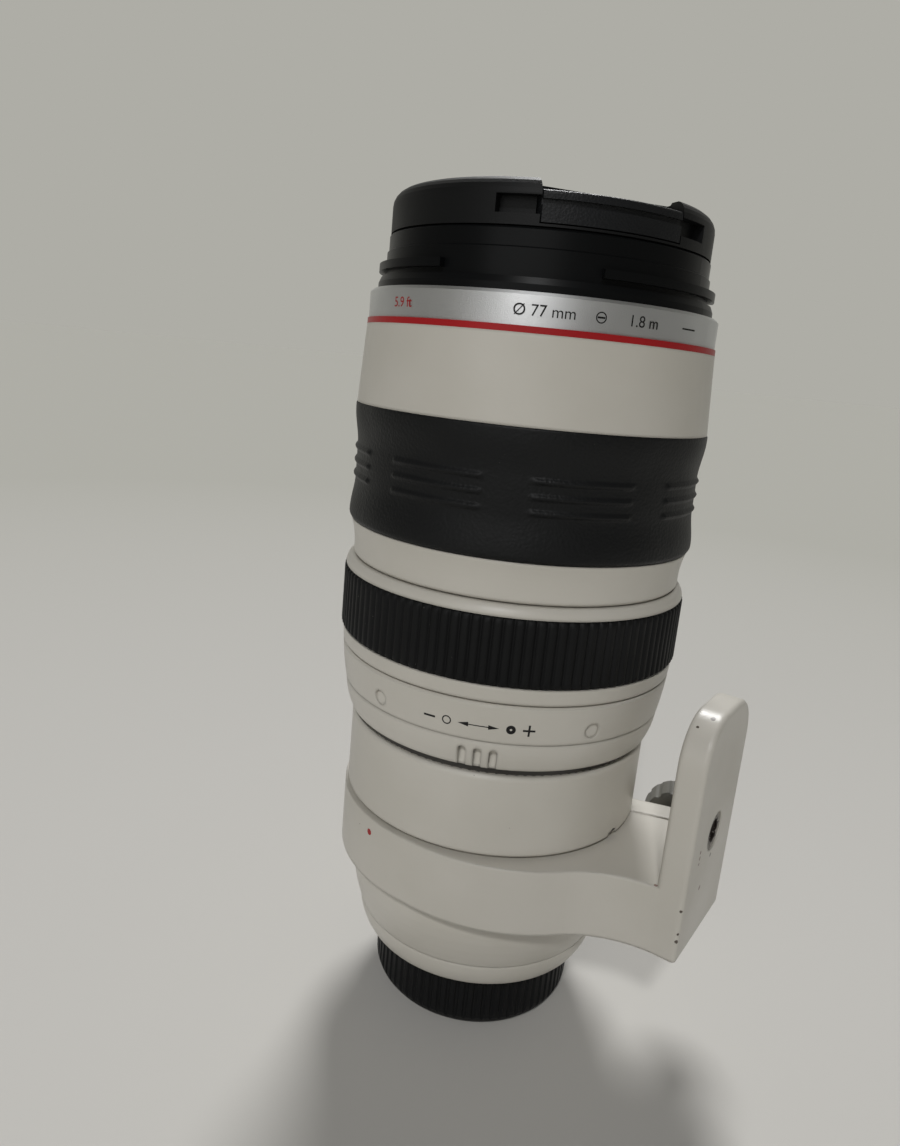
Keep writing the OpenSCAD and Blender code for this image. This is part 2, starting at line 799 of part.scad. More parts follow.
module along_clamp(from) {
    rotate([0, 0, slit_dir]) translate([clamp_reach, from, z_clamp]) rotate([-90, 0, 0]) children();
}

module tripod_collar() color(paint) difference() {
    union() {
        translate([0, 0, z_collar])
            linear_extrude(height = collar_w)
                difference() {
                    union() {
                        circle(r = collar_r);
                        arm_outline();
                        ear_outline();
                    }
                    circle(r = collar_bore);
                    slit_outline();
                }
        foot_plate();
    }
    // Bore of the clamp screw
    along_clamp(-clamp_blind - 1) cylinder(h = clamp_blind + ear_out + 2, r = clamp_screw_r + rod_gap);
    // Seat of the tripod bush
    translate([foot_in - 1, 0, z_thread]) rotate([0, 90, 0]) cylinder(h = foot_t + 2, r = bush_r);
}

module collar_liner() color(rubber) difference() {
    ring(collar_bore, collar_bore - liner_t, z_collar + 1, z_collar_top - 1);
    translate([0, 0, z_collar - 1]) linear_extrude(height = collar_w + 2) slit_outline();
}

module tripod_bush() color(steel)
    translate([foot_in, 0, z_thread])
        rotate([0, 90, 0])
            difference() {
                cylinder(h = foot_t - 0.3, r = bush_r);
                translate([0, 0, -1]) cylinder(h = foot_t + 2, r = thread_r);
            }

module clamp_knob() color(paint)
    along_clamp(knob_low)
        difference() {
            neck_r = 5.5;
            top = knob_neck + knob_h;
            rim = 1.5;
            lathe(fold([
                [[0, 0], [neck_r, 0], [neck_r, knob_neck], [knob_r, knob_neck + rim / 2]],
                arc([knob_r - rim, top - rim], rim, 0, 90),
                [[0, top]]
            ]));
            around(knob_flutes) translate([knob_r + 0.6, 0, knob_neck - 1]) cylinder(h = knob_h + 2, r = 1.2);
            translate([0, 0, -1]) cylinder(h = top - 2, r = clamp_screw_r);
        }

module clamp_screw() color(steel)
    along_clamp(-clamp_blind) cylinder(h = clamp_blind + knob_low + knob_neck + knob_h - 3, r = clamp_screw_r);

// Fixed tubes of the zoom drive

module scale_tube() color(paint) difference() {
    lathe([
        [spigot_in, z_guide - guide_flange_h], [barrel_in, z_guide - guide_flange_h], [barrel_in, z_tension],
        [tube_r, z_tension], [tube_r, z_scale_top], [scale_in, z_scale_top], [scale_in, z_neck],
        [spigot_in, z_neck]
    ]);
    around(slots, 180 / slots)
        arc_ring(tube_r + 1, scale_in - 1, z_band + 0.5, z_band + band_h - 0.5, -10, 10);
}

module guide_tube() color(alloy) difference() {
    union() {
        ring(spigot_in, guide_lip, z_guide - guide_flange_h, z_guide);
        ring(guide_r, guide_in, z_guide, z_guide_top);
    }
    around(slots)
        axial_slot(guide_in - 1, guide_r + 1, z_zoom_pin, z_zoom_pin + zoom_travel, pin_d + 2 * pin_gap);
    around(slots, 180 / slots)
        axial_slot(guide_in - 1, guide_r + 1, z_variator, z_variator + variator_travel, pin_d + 2 * pin_gap);
}

// Brake band under the tension ring, with pads that reach the sliding tube through the scale tube
module friction_band() color(black) difference() {
    union() {
        ring(tube_r + band_t, tube_r, z_band, z_band + band_h);
        around(slots, 180 / slots)
            arc_ring(tube_r + eps, cell_tube_r + run_gap, z_band + 0.5, z_band + band_h - 0.5, -10, 10);
    }
    rotate([0, 0, 120]) translate([scale_in, -3, z_band - 1]) cube([6, 6, band_h + 2]);
}

// Focus group on two rods

module focus_base() color(black) difference() {
    z = z_guide - guide_flange_h - focus_base_h;
    ring(guide_r - 0.8, rod_ring - 5, z, z + focus_base_h);
    around(2, 90) translate([rod_ring, 0, z - 1]) cylinder(h = focus_base_h + 2, r = rod_r);
}

module focus_rods() color(steel) {
    low = z_guide - guide_flange_h - focus_base_h;
    high = z_focus_cell + focus_cell_h + focus_travel + 1;
    around(2, 90) translate([rod_ring, 0, low]) cylinder(h = high - low, r = rod_r);
}

module focus_cell() color(alloy) difference() {
    ring(guide_lip - 0.4, rod_ring - 4, z_focus_cell, z_focus_cell + focus_cell_h);
    around(2, 90)
        translate([rod_ring, 0, z_focus_cell - 1]) cylinder(h = focus_cell_h + 2, r = rod_r + rod_gap);
}

module focus_elements() color(glass) {
    element(rod_ring - 4, z_focus_cell + 1, 2, -0.7, 0.6);
    element(rod_ring - 4, z_focus_cell + 5.5, 2, -0.6, 0.8);
}

// Cam barrel with a steep slot set for the front group and a shallow set for the variator

module cam_barrel() color(alloy) difference() {
    ring(cam_r, cam_in, z_cam, z_guide_top);
    around(slots) helical_slot(cam_in - 1, cam_r + 1, z_zoom_pin, zoom_travel, cam_angle);
    around(slots, 180 / slots) helical_slot(cam_in - 1, cam_r + 1, z_variator, variator_travel, cam_angle);
}

follower_in = group_r - 2.4;

module variator_cell() color(black) difference() {
    ring(group_r, group_r - 6, z_variator - variator_h / 2, z_variator + variator_h / 2);
    around(slots, 180 / slots) radial_pin(follower_in, group_r + 1, z_variator, pin_d);
}

module variator_elements() color(glass) {
    element(group_r - 6, z_variator - 4.5, 2.2, -1, -1);
    element(group_r - 6, z_variator + 1.5, 2.6, -0.8, 0.9);
}

module variator_followers() color(brass)
    around(slots, 180 / slots) radial_pin(follower_in, guide_r - 0.2, z_variator, pin_d);

// Zoom tension ring

module tension_ring() color(paint) difference() {
    z_line = z_tension + tension_band_h;
    z_top = z_tension + tension_h;
    v = 0.4;
    band_bore = tube_r + band_t + run_gap;
    lathe(fold([
        [[ring_bore, z_tension]],
        bow([tension_low_r, z_tension], [tension_mid_r - 0.2, z_line - v], 0.35),
        [[tension_mid_r - v - 0.2, z_line]],
        bow([tension_mid_r, z_line + v], [tension_top_r, z_top - 0.4], 0.15),
        [[tension_top_r - 0.4, z_top], [ring_bore, z_top], [ring_bore, z_band + band_h + run_gap]],
        [[band_bore, z_band + band_h + run_gap], [band_bore, z_band - run_gap], [ring_bore, z_band - run_gap]]
    ]));
    // Thumb grooves that run out at the lower edge
    groove_floor = tension_low_r - 0.3;
    groove_end = z_tension + groove_l - groove_w / 2;
    around(3, groove_dir)
        for (i = [-1 : 1])
            rotate([0, 0, i * groove_step])
                axial_slot(groove_floor, tension_top_r, z_tension - groove_w, groove_end, groove_w);
    around(plug_count, plug_dir) radial_pin(plug_low, tension_top_r, plug_z, 2 * plug_r);
}

plug_dir = groove_dir + 180 / plug_count;
plug_z = z_tension + tension_band_h + 3.7;
plug_low = tube_r + band_t + run_gap + 0.6;

module tension_plugs() color(paint)
    around(plug_count, plug_dir) radial_pin(plug_low, tension_mid_r + 0.2, plug_z, 2 * plug_r);

// Focus ring and its ribbed rubber

focus_seat_r = focus_r - 1.7;
z_rubber = z_focus + focus_skirt_h;
z_rubber_top = z_rubber + focus_rubber_h;

module focus_ring() color(paint) {
    z_top = z_focus + focus_h;
    lathe(fold([
        [[ring_bore, z_focus], [focus_r - 1.2, z_focus], [focus_r - 0.8, z_focus + 0.4]],
        [[focus_r - 0.5, z_rubber], [focus_seat_r, z_rubber], [focus_seat_r, z_rubber_top]],
        bow([focus_r - 0.3, z_rubber_top], [sleeve_low_r + 0.3, z_top], 0.4),
        [[ring_bore, z_top]]
    ]));
}

module focus_grip() color(rubber) difference() {
    translate([0, 0, z_rubber])
        linear_extrude(height = focus_rubber_h) ribbed_disc(focus_r, focus_rib_depth, focus_ribs);
    translate([0, 0, z_rubber - 1]) cylinder(h = focus_rubber_h + 2, r = focus_seat_r, $fn = 360);
}

// Sliding sleeve, its rubber grip and the rings at its front

sleeve_spigot_r = sleeve_bore + tube_wall;
grip_seat_r = sleeve_bore + 1.8;
z_grip_top = z_grip + grip_h;

module front_sleeve() color(paint)
    lathe(fold([
        [[sleeve_bore, z_sleeve], [sleeve_low_r - 0.4, z_sleeve], [sleeve_low_r, z_sleeve + 0.5]],
        bow([sleeve_low_r, z_sleeve + 1.5], [sleeve_grip_r - 0.4, z_grip], -0.35),
        [[grip_seat_r, z_grip], [grip_seat_r, z_grip_top], [sleeve_grip_r, z_grip_top]],
        [[sleeve_top_r, z_accent], [sleeve_spigot_r, z_accent], [sleeve_spigot_r, z_filter]],
        [[sleeve_bore, z_filter]]
    ]));

module zoom_grip() color(rubber) {
    waist_r = grip_r - grip_waist;
    z_mid = z_grip + grip_h / 2;
    lathe(fold([
        [[grip_seat_r, z_grip]],
        arc([grip_r - 1.6, z_grip + 1.6], 1.6, -80, 0),
        [[grip_r, z_grip + 2.4]],
        bow([waist_r + 0.25, z_grip + 4.6], [waist_r, z_grip + 8], -0.1, 3),
        bow([waist_r, z_grip_top - 8], [waist_r + 0.25, z_grip_top - 4.6], -0.1, 3),
        [[grip_r, z_grip_top - 2.4], [grip_r, z_grip_top - 0.5], [grip_r - 0.5, z_grip_top]],
        [[grip_seat_r, z_grip_top]]
    ]));
    // Groups of raised ribs round the waist
    rib_angle = 360 / grip_groups * grip_fill;
    for (row = [0 : grip_rows - 1])
        around(grip_groups, grip_dir)
            translate([0, 0, z_mid + (row - (grip_rows - 1) / 2) * grip_pitch])
                rotate_extrude(angle = rib_angle)
                    polygon(fold([
                        [[waist_r - 0.6, -0.9]],
                        arc([waist_r - 0.2, 0], grip_rib + 0.2, -80, 80, 6),
                        [[waist_r - 0.6, 0.9]]
                    ]));
}

module accent_ring() color(red) ring(sleeve_top_r, sleeve_spigot_r, z_accent, z_name);

module name_ring() color(silver)
    lathe([
        [sleeve_spigot_r, z_name], [name_r, z_name], [name_r, z_filter - 0.7], [name_r - 0.8, z_filter],
        [sleeve_spigot_r, z_filter]
    ]);

web_h = 2.4;
retainer_seat_r = filter_bore - 1;

module filter_ring() color(black) {
    groove_low = z_filter + 3;
    groove_high = groove_low + 1.2;
    lug_top = groove_high + 1.9;
    neck_r = filter_r + 0.4;
    lathe([
        [retainer_seat_r, z_filter], [hood_r, z_filter], [hood_r, groove_low - 1.4], [hood_r - 0.6, groove_low],
        [neck_r, groove_low], [neck_r, z_front - 4.2], [filter_r, z_front - 3.9], [filter_r, z_front - 0.4],
        [filter_r - 0.4, z_front], [filter_bore, z_front], [filter_bore, z_filter + web_h + 2],
        [retainer_seat_r, z_filter + web_h + 2]
    ]);
    // Bayonet lugs for a hood
    around(3, hood_dir) arc_ring(hood_r, neck_r - 0.5, groove_high, lug_top, -35, 35);
}

module front_cell() color(black) difference() {
    inner = cell_tube_in - cell_step;
    lathe([
        [cell_tube_in, z_cell_low], [cell_tube_r, z_cell_low], [cell_tube_r, z_filter], [inner, z_filter],
        [inner, z_front_seat], [cell_tube_in, z_front_seat]
    ]);
    around(slots) radial_pin(cell_tube_in - 1, cell_tube_r + 1, z_zoom_pin, pin_d);
}

module zoom_followers() color(brass) around(slots) radial_pin(group_r + 0.4, cell_tube_r, z_zoom_pin, pin_d);

front_lens_r = cell_tube_in - cell_step;

module front_doublet() color(glass) {
    element(front_lens_r, z_front_seat + 4, 3, -1.5, 3);
    element(front_lens_r, z_front_seat + 11, 3, -2.5, 4);
}

front_crown = 4;
front_edge = 4;
retainer_lip = 1.6;

module front_element() color(glass) element(front_lens_r, z_filter - front_edge, front_edge, -2.5, front_crown);

// Threaded ring that holds the front element down by its rim
module front_retainer() color(black) {
    lip_r = front_lens_r - retainer_lip;
    lip_z = z_filter + front_crown * (1 - pow(lip_r / front_lens_r, 2)) + 0.1;
    lathe([
        [lip_r, lip_z], [front_lens_r, z_filter], [retainer_seat_r, z_filter],
        [retainer_seat_r, z_filter + web_h], [front_lens_r, z_filter + web_h], [lip_r, lip_z + 0.8]
    ]);
}

// Front cap with two spring tabs on opposite sides

tab_half = front_cap_r * sin(tab_angle);
tab_low = z_cap + 0.8;
tab_high = z_cap_top - tab_drop;
tab_in = front_cap_r - tab_depth;
tab_stop = tab_in - tab_travel - run_gap;
notch_low = z_cap + 2.3;
notch_high = tab_high - 1.2;

// Rails at the tab's inner end, which keep it in the cap
rail_l = 1.8;
rail_out = 1.2;
rail_h = 1;

module front_cap() color(black) difference() {
    spigot_r = filter_bore - run_gap;
    spigot_h = 3.5;
    notch_r = front_cap_r - notch_depth;
    hollow_r = tab_stop - 1.7;
    dish_r = front_cap_r - front_cap_round - 2.5;
    dish = 0.5;
    plate_t = 1.7;
    lathe(fold([
        [[hollow_r, z_cap - spigot_h], [spigot_r, z_cap - spigot_h], [spigot_r, z_cap], [front_cap_r, z_cap]],
        arc([front_cap_r - front_cap_round, z_cap_top - front_cap_round], front_cap_round, 0, 80),
        [[dish_r + dish, z_cap_top], [dish_r, z_cap_top - dish], [0, z_cap_top - dish]],
        [[0, z_cap_top - dish - plate_t], [hollow_r, z_cap_top - dish - plate_t]]
    ]));
    around(2, tab_dir) {
        // Pocket that a tab slides in, open above, with grooves for its rails
        translate([tab_stop, -tab_half - run_gap, tab_low - run_gap])
            cube([front_cap_r, 2 * (tab_half + run_gap), front_cap_h]);
        translate([tab_stop, -tab_half - rail_out - run_gap, tab_low - run_gap])
            cube([
                rail_l + tab_travel + 2 * run_gap, 2 * (tab_half + rail_out + run_gap), rail_h + 2 * run_gap
            ]);
        // Finger notches in the side wall next to it, under the rim
        for (from = [-tab_angle - notch_angle, tab_angle])
            arc_ring(front_cap_r + 1, notch_r, notch_low, notch_high, from, from + notch_angle);
    }
}

module cap_tab() {
    lip = 0.8;
    groove = 1.2;
    groove_z = tab_high - 3;
    intersection() {
        lathe(fold([
            [[0, tab_low], [front_cap_r, tab_low], [front_cap_r, groove_z], [front_cap_r - lip, groove_z]],
            [[front_cap_r - lip, groove_z + groove], [front_cap_r, groove_z + groove]],
            arc([front_cap_r - lip, tab_high - lip], lip, 0, 90),
            [[0, tab_high]]
        ]));
        translate([tab_in, -tab_half, tab_low - 1]) cube([front_cap_r, 2 * tab_half, tab_high - tab_low + 2]);
    }
    translate([tab_in, -tab_half - rail_out, tab_low]) cube([rail_l, 2 * (tab_half + rail_out), rail_h]);
}

module cap_tab_near() color(black) rotate([0, 0, tab_dir]) cap_tab();
module cap_tab_far() color(black) rotate([0, 0, tab_dir + 180]) cap_tab();

rear_cap();
lens_mount();
mount_screws();
contact_block();
contact_pins();
rear_baffle();
end_ring();
rear_barrel();
rear_cell();
rear_elements();
main_board();
stabiliser_base();
stabiliser_guide();
stabiliser_cell();
stabiliser_element();
main_barrel();
scale_window();
switch_plate();
focus_mode_switch();
focus_range_switch();
stabiliser_switch();
stabiliser_mode_switch();
motor_stator();
distance_drum();
iris_housing();
iris_cover();
iris_blades();
tripod_collar();
collar_liner();
tripod_bush();
clamp_knob();
clamp_screw();
scale_tube();
guide_tube();
friction_band();
focus_base();
focus_rods();
focus_cell();
focus_elements();
cam_barrel();
variator_cell();
variator_elements();
variator_followers();
tension_ring();
tension_plugs();
focus_ring();
focus_grip();
front_sleeve();
zoom_grip();
accent_ring();
name_ring();
filter_ring();
front_cell();
zoom_followers();
front_element();
front_doublet();
front_retainer();
front_cap();
cap_tab_near();
cap_tab_far();
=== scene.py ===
# %% [markdown]
# # A telephoto zoom lens
# The lens stands on its rear cap with its front cap on. Its turned rings, its collar and everything inside
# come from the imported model, which is already in place and in metres. Here it gets its finishes, its rubber,
# its printed marks, a table to stand on and soft light.

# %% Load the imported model
import json
import math

import bmesh
import bpy
from mathutils import Matrix, Vector
from mathutils.bvhtree import BVHTree


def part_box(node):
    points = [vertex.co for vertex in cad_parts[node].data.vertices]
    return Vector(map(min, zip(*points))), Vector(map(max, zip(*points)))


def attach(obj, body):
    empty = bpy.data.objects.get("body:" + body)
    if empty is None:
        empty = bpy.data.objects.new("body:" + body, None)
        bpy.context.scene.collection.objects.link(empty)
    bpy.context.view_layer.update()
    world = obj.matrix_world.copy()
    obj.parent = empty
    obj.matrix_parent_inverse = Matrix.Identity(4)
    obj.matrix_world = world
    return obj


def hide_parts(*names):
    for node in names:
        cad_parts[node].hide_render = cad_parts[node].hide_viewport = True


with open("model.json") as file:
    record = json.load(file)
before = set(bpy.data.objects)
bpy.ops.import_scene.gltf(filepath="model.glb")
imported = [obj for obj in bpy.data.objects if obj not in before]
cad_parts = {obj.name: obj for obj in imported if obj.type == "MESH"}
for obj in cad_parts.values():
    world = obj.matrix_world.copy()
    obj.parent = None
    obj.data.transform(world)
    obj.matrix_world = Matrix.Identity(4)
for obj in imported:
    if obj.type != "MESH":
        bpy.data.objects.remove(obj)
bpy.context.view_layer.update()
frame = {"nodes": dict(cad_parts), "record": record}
nodes = frame["nodes"]
MM = 0.001

# %% [markdown]
# ## The camera
# The photograph was taken with a phone held close, a little above the lens and slightly tilted, so the
# perspective is strong. Its place, tilt and focal length were worked out from the edges of the rings, whose
# sizes are known, and they are given here as plain numbers. The foot of the collar lies along +X, and the
# photographer stood well to one side of it.

# %% Place the camera
IMAGE_W, IMAGE_H = 900, 1146
SENSOR = 36.0
focal_px = 832.6
middle_px = (466.3, 553.6)
stand_off = 224.28 * MM
eye_height = 179.09 * MM
pitch, yaw, roll = (math.radians(a) for a in (12.934, -3.407, 5.638))
foot_turn = Matrix.Rotation(math.radians(29.3), 3, "Z")

forward = Vector((math.sin(yaw) * math.cos(pitch), math.cos(yaw) * math.cos(pitch), -math.sin(pitch)))
level = Vector((math.cos(yaw), -math.sin(yaw), 0))
upward = level.cross(forward)
right = math.cos(roll) * level + math.sin(roll) * upward
up = math.cos(roll) * upward - math.sin(roll) * level
eye = foot_turn @ Vector((0, -stand_off, eye_height))

camera_data = bpy.data.cameras.new("camera")
camera_data.sensor_width = SENSOR
camera_data.lens = focal_px / IMAGE_H * SENSOR
camera_data.shift_x = (IMAGE_W / 2 - middle_px[0]) / IMAGE_H
camera_data.shift_y = (middle_px[1] - IMAGE_H / 2) / IMAGE_H
camera_data.clip_start = 5 * MM
camera = bpy.data.objects.new("camera", camera_data)
aim = foot_turn @ Matrix((right, up, -forward)).transposed()
camera.matrix_world = Matrix.Translation(eye) @ aim.to_4x4()
bpy.context.collection.objects.link(camera)
bpy.context.scene.camera = camera
bpy.context.scene.view_settings.view_transform = "Standard"
print("camera at", [round(c / MM) for c in eye], "mm, lens", round(camera_data.lens, 1), "mm")

# %% [markdown]
# ## Building materials
# A material is a small network of nodes, and written out in full each would fill a page. These helpers keep
# them short. One sets or wires an input, one makes a node and fills its inputs by name, and two more do a
# sum and a mix of two colours. The last ones start a shader node group with named sockets, place it in a
# material, and turn a colour from a paint chart into the linear colour that a shader takes.

# %% Node helpers
FLOAT, VECTOR, COLOUR = "NodeSocketFloat", "NodeSocketVector", "NodeSocketColor"


def feed(tree, socket, value):
    """Sets an input socket, or wires it where the value is another node's output."""
    if isinstance(value, bpy.types.NodeSocket):
        tree.links.new(value, socket)
    else:
        socket.default_value = value


def add_node(tree, kind, **inputs):
    """A node of that kind, with its inputs given by name, spaces written as underscores."""
    node = tree.nodes.new(kind)
    for name, value in inputs.items():
        feed(tree, node.inputs[name.replace("_", " ")], value)
    return node


def sum_up(tree, operation, first, second):
    """The output of a Math node."""
    node = tree.nodes.new("ShaderNodeMath")
    node.operation = operation
    feed(tree, node.inputs[0], first)
    feed(tree, node.inputs[1], second)
    return node.outputs[0]


def mix_colour(tree, mask, first, second):
    """The first colour where the mask is 0, the second where it is 1."""
    node = tree.nodes.new("ShaderNodeMix")
    node.data_type = "RGBA"
    # A Mix node has sockets for every kind of value. These are its mask and its colours.
    for index, value in ((0, mask), (6, first), (7, second)):
        feed(tree, node.inputs[index], value)
    return node.outputs[2]


def start_group(name, inputs, outputs):
    """A shader node group with named sockets: the tree, its inputs by name, and its output node."""
    tree = bpy.data.node_groups.new(name, "ShaderNodeTree")
    for title, kind in inputs:
        tree.interface.new_socket(title, in_out="INPUT", socket_type=kind)
    for title, kind in outputs:
        tree.interface.new_socket(title, in_out="OUTPUT", socket_type=kind)
    return tree, tree.nodes.new("NodeGroupInput").outputs, tree.nodes.new("NodeGroupOutput")


def use_group(tree, group, **inputs):
    """The outputs of a shader node group placed in a material."""
    node = tree.nodes.new("ShaderNodeGroup")
    node.node_tree = group
    for name, value in inputs.items():
        feed(tree, node.inputs[name], value)
    return node.outputs


def srgb(red, green, blue):
    """A colour as a paint chart gives it, 0 to 255, as the linear colour that a shader takes."""
    channels = [c / 255 for c in (red, green, blue)]
    return (*[c / 12.92 if c <= 0.04045 else ((c + 0.055) / 1.055) ** 2.4 for c in channels], 1.0)


print("node helpers ready")

# %% [markdown]
# ## Three effects that many finishes share
# Paint, rubber and moulded plastic all drift a little in tone, carry a fine grain, and pick up specks of
# dust. Each effect is built once as a group, and every finish that uses it sets its own scale and amounts.

# %% Shared effects
tone_drift, given, result = start_group(
    "tone_drift",
    [("Place", VECTOR), ("Light", COLOUR), ("Dark", COLOUR), ("Scale", FLOAT)],
    [("Colour", COLOUR), ("Mask", FLOAT)],
)
cloud = add_node(tone_drift, "ShaderNodeTexNoise", Vector=given["Place"], Scale=given["Scale"], Detail=4.0)
spread = add_node(
    tone_drift, "ShaderNodeMapRange", Value=cloud.outputs[0], From_Min=0.35, From_Max=0.65
).outputs[0]
feed(tone_drift, result.inputs["Colour"], mix_colour(tone_drift, spread, given["Light"], given["Dark"]))
feed(tone_drift, result.inputs["Mask"], spread)

fine_grain, given, result = start_group(
    "fine_grain", [("Place", VECTOR), ("Scale", FLOAT)], [("Height", FLOAT)]
)
pebbles = add_node(fine_grain, "ShaderNodeTexVoronoi", Vector=given["Place"], Scale=given["Scale"])
fizz = add_node(fine_grain, "ShaderNodeTexNoise", Vector=given["Place"], Scale=given["Scale"], Detail=2.0)
grain_height = sum_up(fine_grain, "ADD", pebbles.outputs["Distance"], fizz.outputs[0])
feed(fine_grain, result.inputs["Height"], grain_height)

dust_specks, given, result = start_group(
    "dust_specks", [("Place", VECTOR), ("Scale", FLOAT), ("Share", FLOAT)], [("Mask", FLOAT)]
)
seeds = add_node(dust_specks, "ShaderNodeTexVoronoi", Vector=given["Place"], Scale=given["Scale"])
patches = add_node(dust_specks, "ShaderNodeTexNoise", Vector=given["Place"], Scale=60.0, Detail=3.0)
speck_size = sum_up(dust_specks, "MULTIPLY", patches.outputs[0], given["Share"])
speck = sum_up(dust_specks, "LESS_THAN", seeds.outputs["Distance"], speck_size)
feed(dust_specks, result.inputs["Mask"], speck)
print("shared effects:", [group.name for group in (tone_drift, fine_grain, dust_specks)])

# %% [markdown]
# ## The finishes
# The barrel is sprayed in a warm off-white enamel with a faint orange-peel skin. Caps and switches are
# moulded black plastic, the filter ring is black anodised alloy, the name ring is brushed silver, and the
# grips are black rubber, one of them with a leather grain. Inside are glass, brass, steel and bare alloy.
# Pictures could be wrapped round the lens for this, but they blur close up. So one recipe of nodes makes
# all the finishes: a tone that drifts, a roughness that drifts with it, a grain as a bump, and some dust.

# %% Finish recipe
SHEEN_DRIFT = 0.15
GRAIN_STRENGTH = 0.6


def place_in(finish):
    """Where on its solid a point of the finish lies."""
    return finish.node_tree.nodes.new("ShaderNodeTexCoord").outputs["Object"]


def make_finish(name, light, dark, rough, grain, depth, dust=None, drift=30.0, edge=0.0, **shader):
    """A finish between two tones, with grain of that scale and depth, and dust of (scale, share, colour).

    Where an edge radius is given, sharp edges catch the light as if rounded by it.
    """
    finish = bpy.data.materials.new(name)
    finish.use_nodes = True
    tree = finish.node_tree
    surface = tree.nodes["Principled BSDF"]
    for title, value in shader.items():
        surface.inputs[title.replace("_", " ")].default_value = value
    place = place_in(finish)
    tone = use_group(tree, tone_drift, Place=place, Light=light, Dark=dark, Scale=drift)
    colour = tone["Colour"]
    if dust:
        dust_scale, dust_share, dust_colour = dust
        mask = use_group(tree, dust_specks, Place=place, Scale=dust_scale, Share=dust_share)["Mask"]
        colour = mix_colour(tree, mask, colour, dust_colour)
    sheen = add_node(
        tree, "ShaderNodeMapRange", Value=tone["Mask"],
        To_Min=rough * (1 - SHEEN_DRIFT), To_Max=rough * (1 + SHEEN_DRIFT),
    )
    height = use_group(tree, fine_grain, Place=place, Scale=grain)["Height"]
    skin = add_node(tree, "ShaderNodeBump", Height=height, Distance=depth, Strength=GRAIN_STRENGTH)
    if edge:
        feed(tree, skin.inputs["Normal"], add_node(tree, "ShaderNodeBevel", Radius=edge).outputs[0])
    feed(tree, surface.inputs["Base Color"], colour)
    feed(tree, surface.inputs["Roughness"], sheen.outputs[0])
    feed(tree, surface.inputs["Normal"], skin.outputs[0])
    return finish


print("finish recipe ready")

# %% [markdown]
# ### One recipe, many finishes
# Each line gives two tones, a roughness, the scale and depth of the grain and, where dust gathers, its scale,
# share and colour. Plastics, rubbers and inks have little gloss. The off-white paint is made three times,
# because the collar gets wear of its own later and the tube a painted shade where the gap below the tension
# ring shades it. The knob's paint is a darker grey, a painted shade for the shadow that falls on it. Edges of
# these paints are rounded in the shading, as a coat of enamel rounds them. The silver is brushed round the
# ring, so its highlight spreads up and down.

# %% Finishes
MICRON = 1e-6
EDGE = 1.2 * MM
LOW_GLOSS, ALLOY_GLOSS = 0.22, 0.12
DUST = srgb(110, 108, 102)
GRIME = srgb(128, 122, 112)
recipes = {
    "black_plastic": (srgb(15, 16, 17), srgb(11, 12, 13), 0.5, 4000, 20 * MICRON, (350, 0.03, DUST)),
    "tab_plastic": (srgb(28, 29, 31), srgb(18, 19, 20), 0.45, 1800, 90 * MICRON, (350, 0.03, DUST)),
    "grip_rubber": (srgb(19, 20, 21), srgb(13, 14, 15), 0.5, 1300, 110 * MICRON, (300, 0.03, DUST)),
    "focus_rubber": (srgb(13, 14, 15), srgb(9, 10, 11), 0.6, 3500, 30 * MICRON, (260, 0.04, DUST)),
    "accent_red": (srgb(176, 34, 38), srgb(160, 28, 32), 0.35, 1500, 10 * MICRON),
    "liner_felt": (srgb(40, 40, 42), srgb(30, 30, 32), 0.9, 1500, 100 * MICRON),
    "board": (srgb(30, 92, 56), srgb(22, 76, 44), 0.4, 1200, 20 * MICRON),
    "black_ink": (srgb(24, 24, 26), srgb(34, 33, 33), 0.5, 3000, 10 * MICRON),
    "red_ink": (srgb(170, 40, 42), srgb(156, 40, 42), 0.45, 3000, 10 * MICRON),
    "white_ink": (srgb(225, 225, 220), srgb(205, 205, 200), 0.5, 3000, 10 * MICRON),
}
finishes = {
    name: make_finish(name, *recipe, Specular_IOR_Level=LOW_GLOSS) for name, recipe in recipes.items()
}
finishes["black_alloy"] = make_finish(
    "black_alloy", srgb(14, 15, 16), srgb(11, 12, 13), 0.34, 5000, 8 * MICRON, Specular_IOR_Level=ALLOY_GLOSS
)
paint = (srgb(204, 200, 191), srgb(198, 194, 184), 0.36, 900, 20 * MICRON, (90, 0.03, GRIME))
for name in ("barrel_paint", "worn_paint", "tube_paint"):
    finishes[name] = make_finish(name, *paint, edge=EDGE)
# The knob is painted a darker grey than the collar: a painted shade for the shadow that falls on it.
finishes["knob_painted_shade"] = make_finish(
    "knob_painted_shade", srgb(94, 92, 85), srgb(86, 84, 77), 0.4, 900, 20 * MICRON, (90, 0.03, GRIME), edge=EDGE
)
metals = {
    "steel": (srgb(190, 190, 192), srgb(165, 165, 168), 0.3, 3000, 10 * MICRON),
    "brass": (srgb(196, 164, 96), srgb(170, 138, 76), 0.34, 3000, 10 * MICRON),
    "alloy": (srgb(128, 129, 132), srgb(112, 113, 116), 0.4, 2500, 10 * MICRON),
}
finishes.update({name: make_finish(name, *recipe, Metallic=0.85) for name, recipe in metals.items()})
finishes["silver_ring"] = make_finish(
    "silver_ring", srgb(222, 223, 224), srgb(208, 209, 210), 0.5, 5500, 40 * MICRON,
    Metallic=1.0, Anisotropic=0.8, Anisotropic_Rotation=0.25,
)
finishes["worn_steel"] = make_finish(
    "worn_steel", srgb(150, 146, 138), srgb(124, 120, 112), 0.5, 3000, 10 * MICRON, Metallic=0.3
)
finishes["optical_glass"] = make_finish(
    "optical_glass", srgb(238, 245, 247), srgb(230, 240, 246), 0.04, 20, 0.1 * MICRON,
    Transmission_Weight=1.0, IOR=1.52, Specular_Tint=(0.72, 0.6, 0.95, 1),
)
print(len(finishes), "finishes:", ", ".join(finishes))
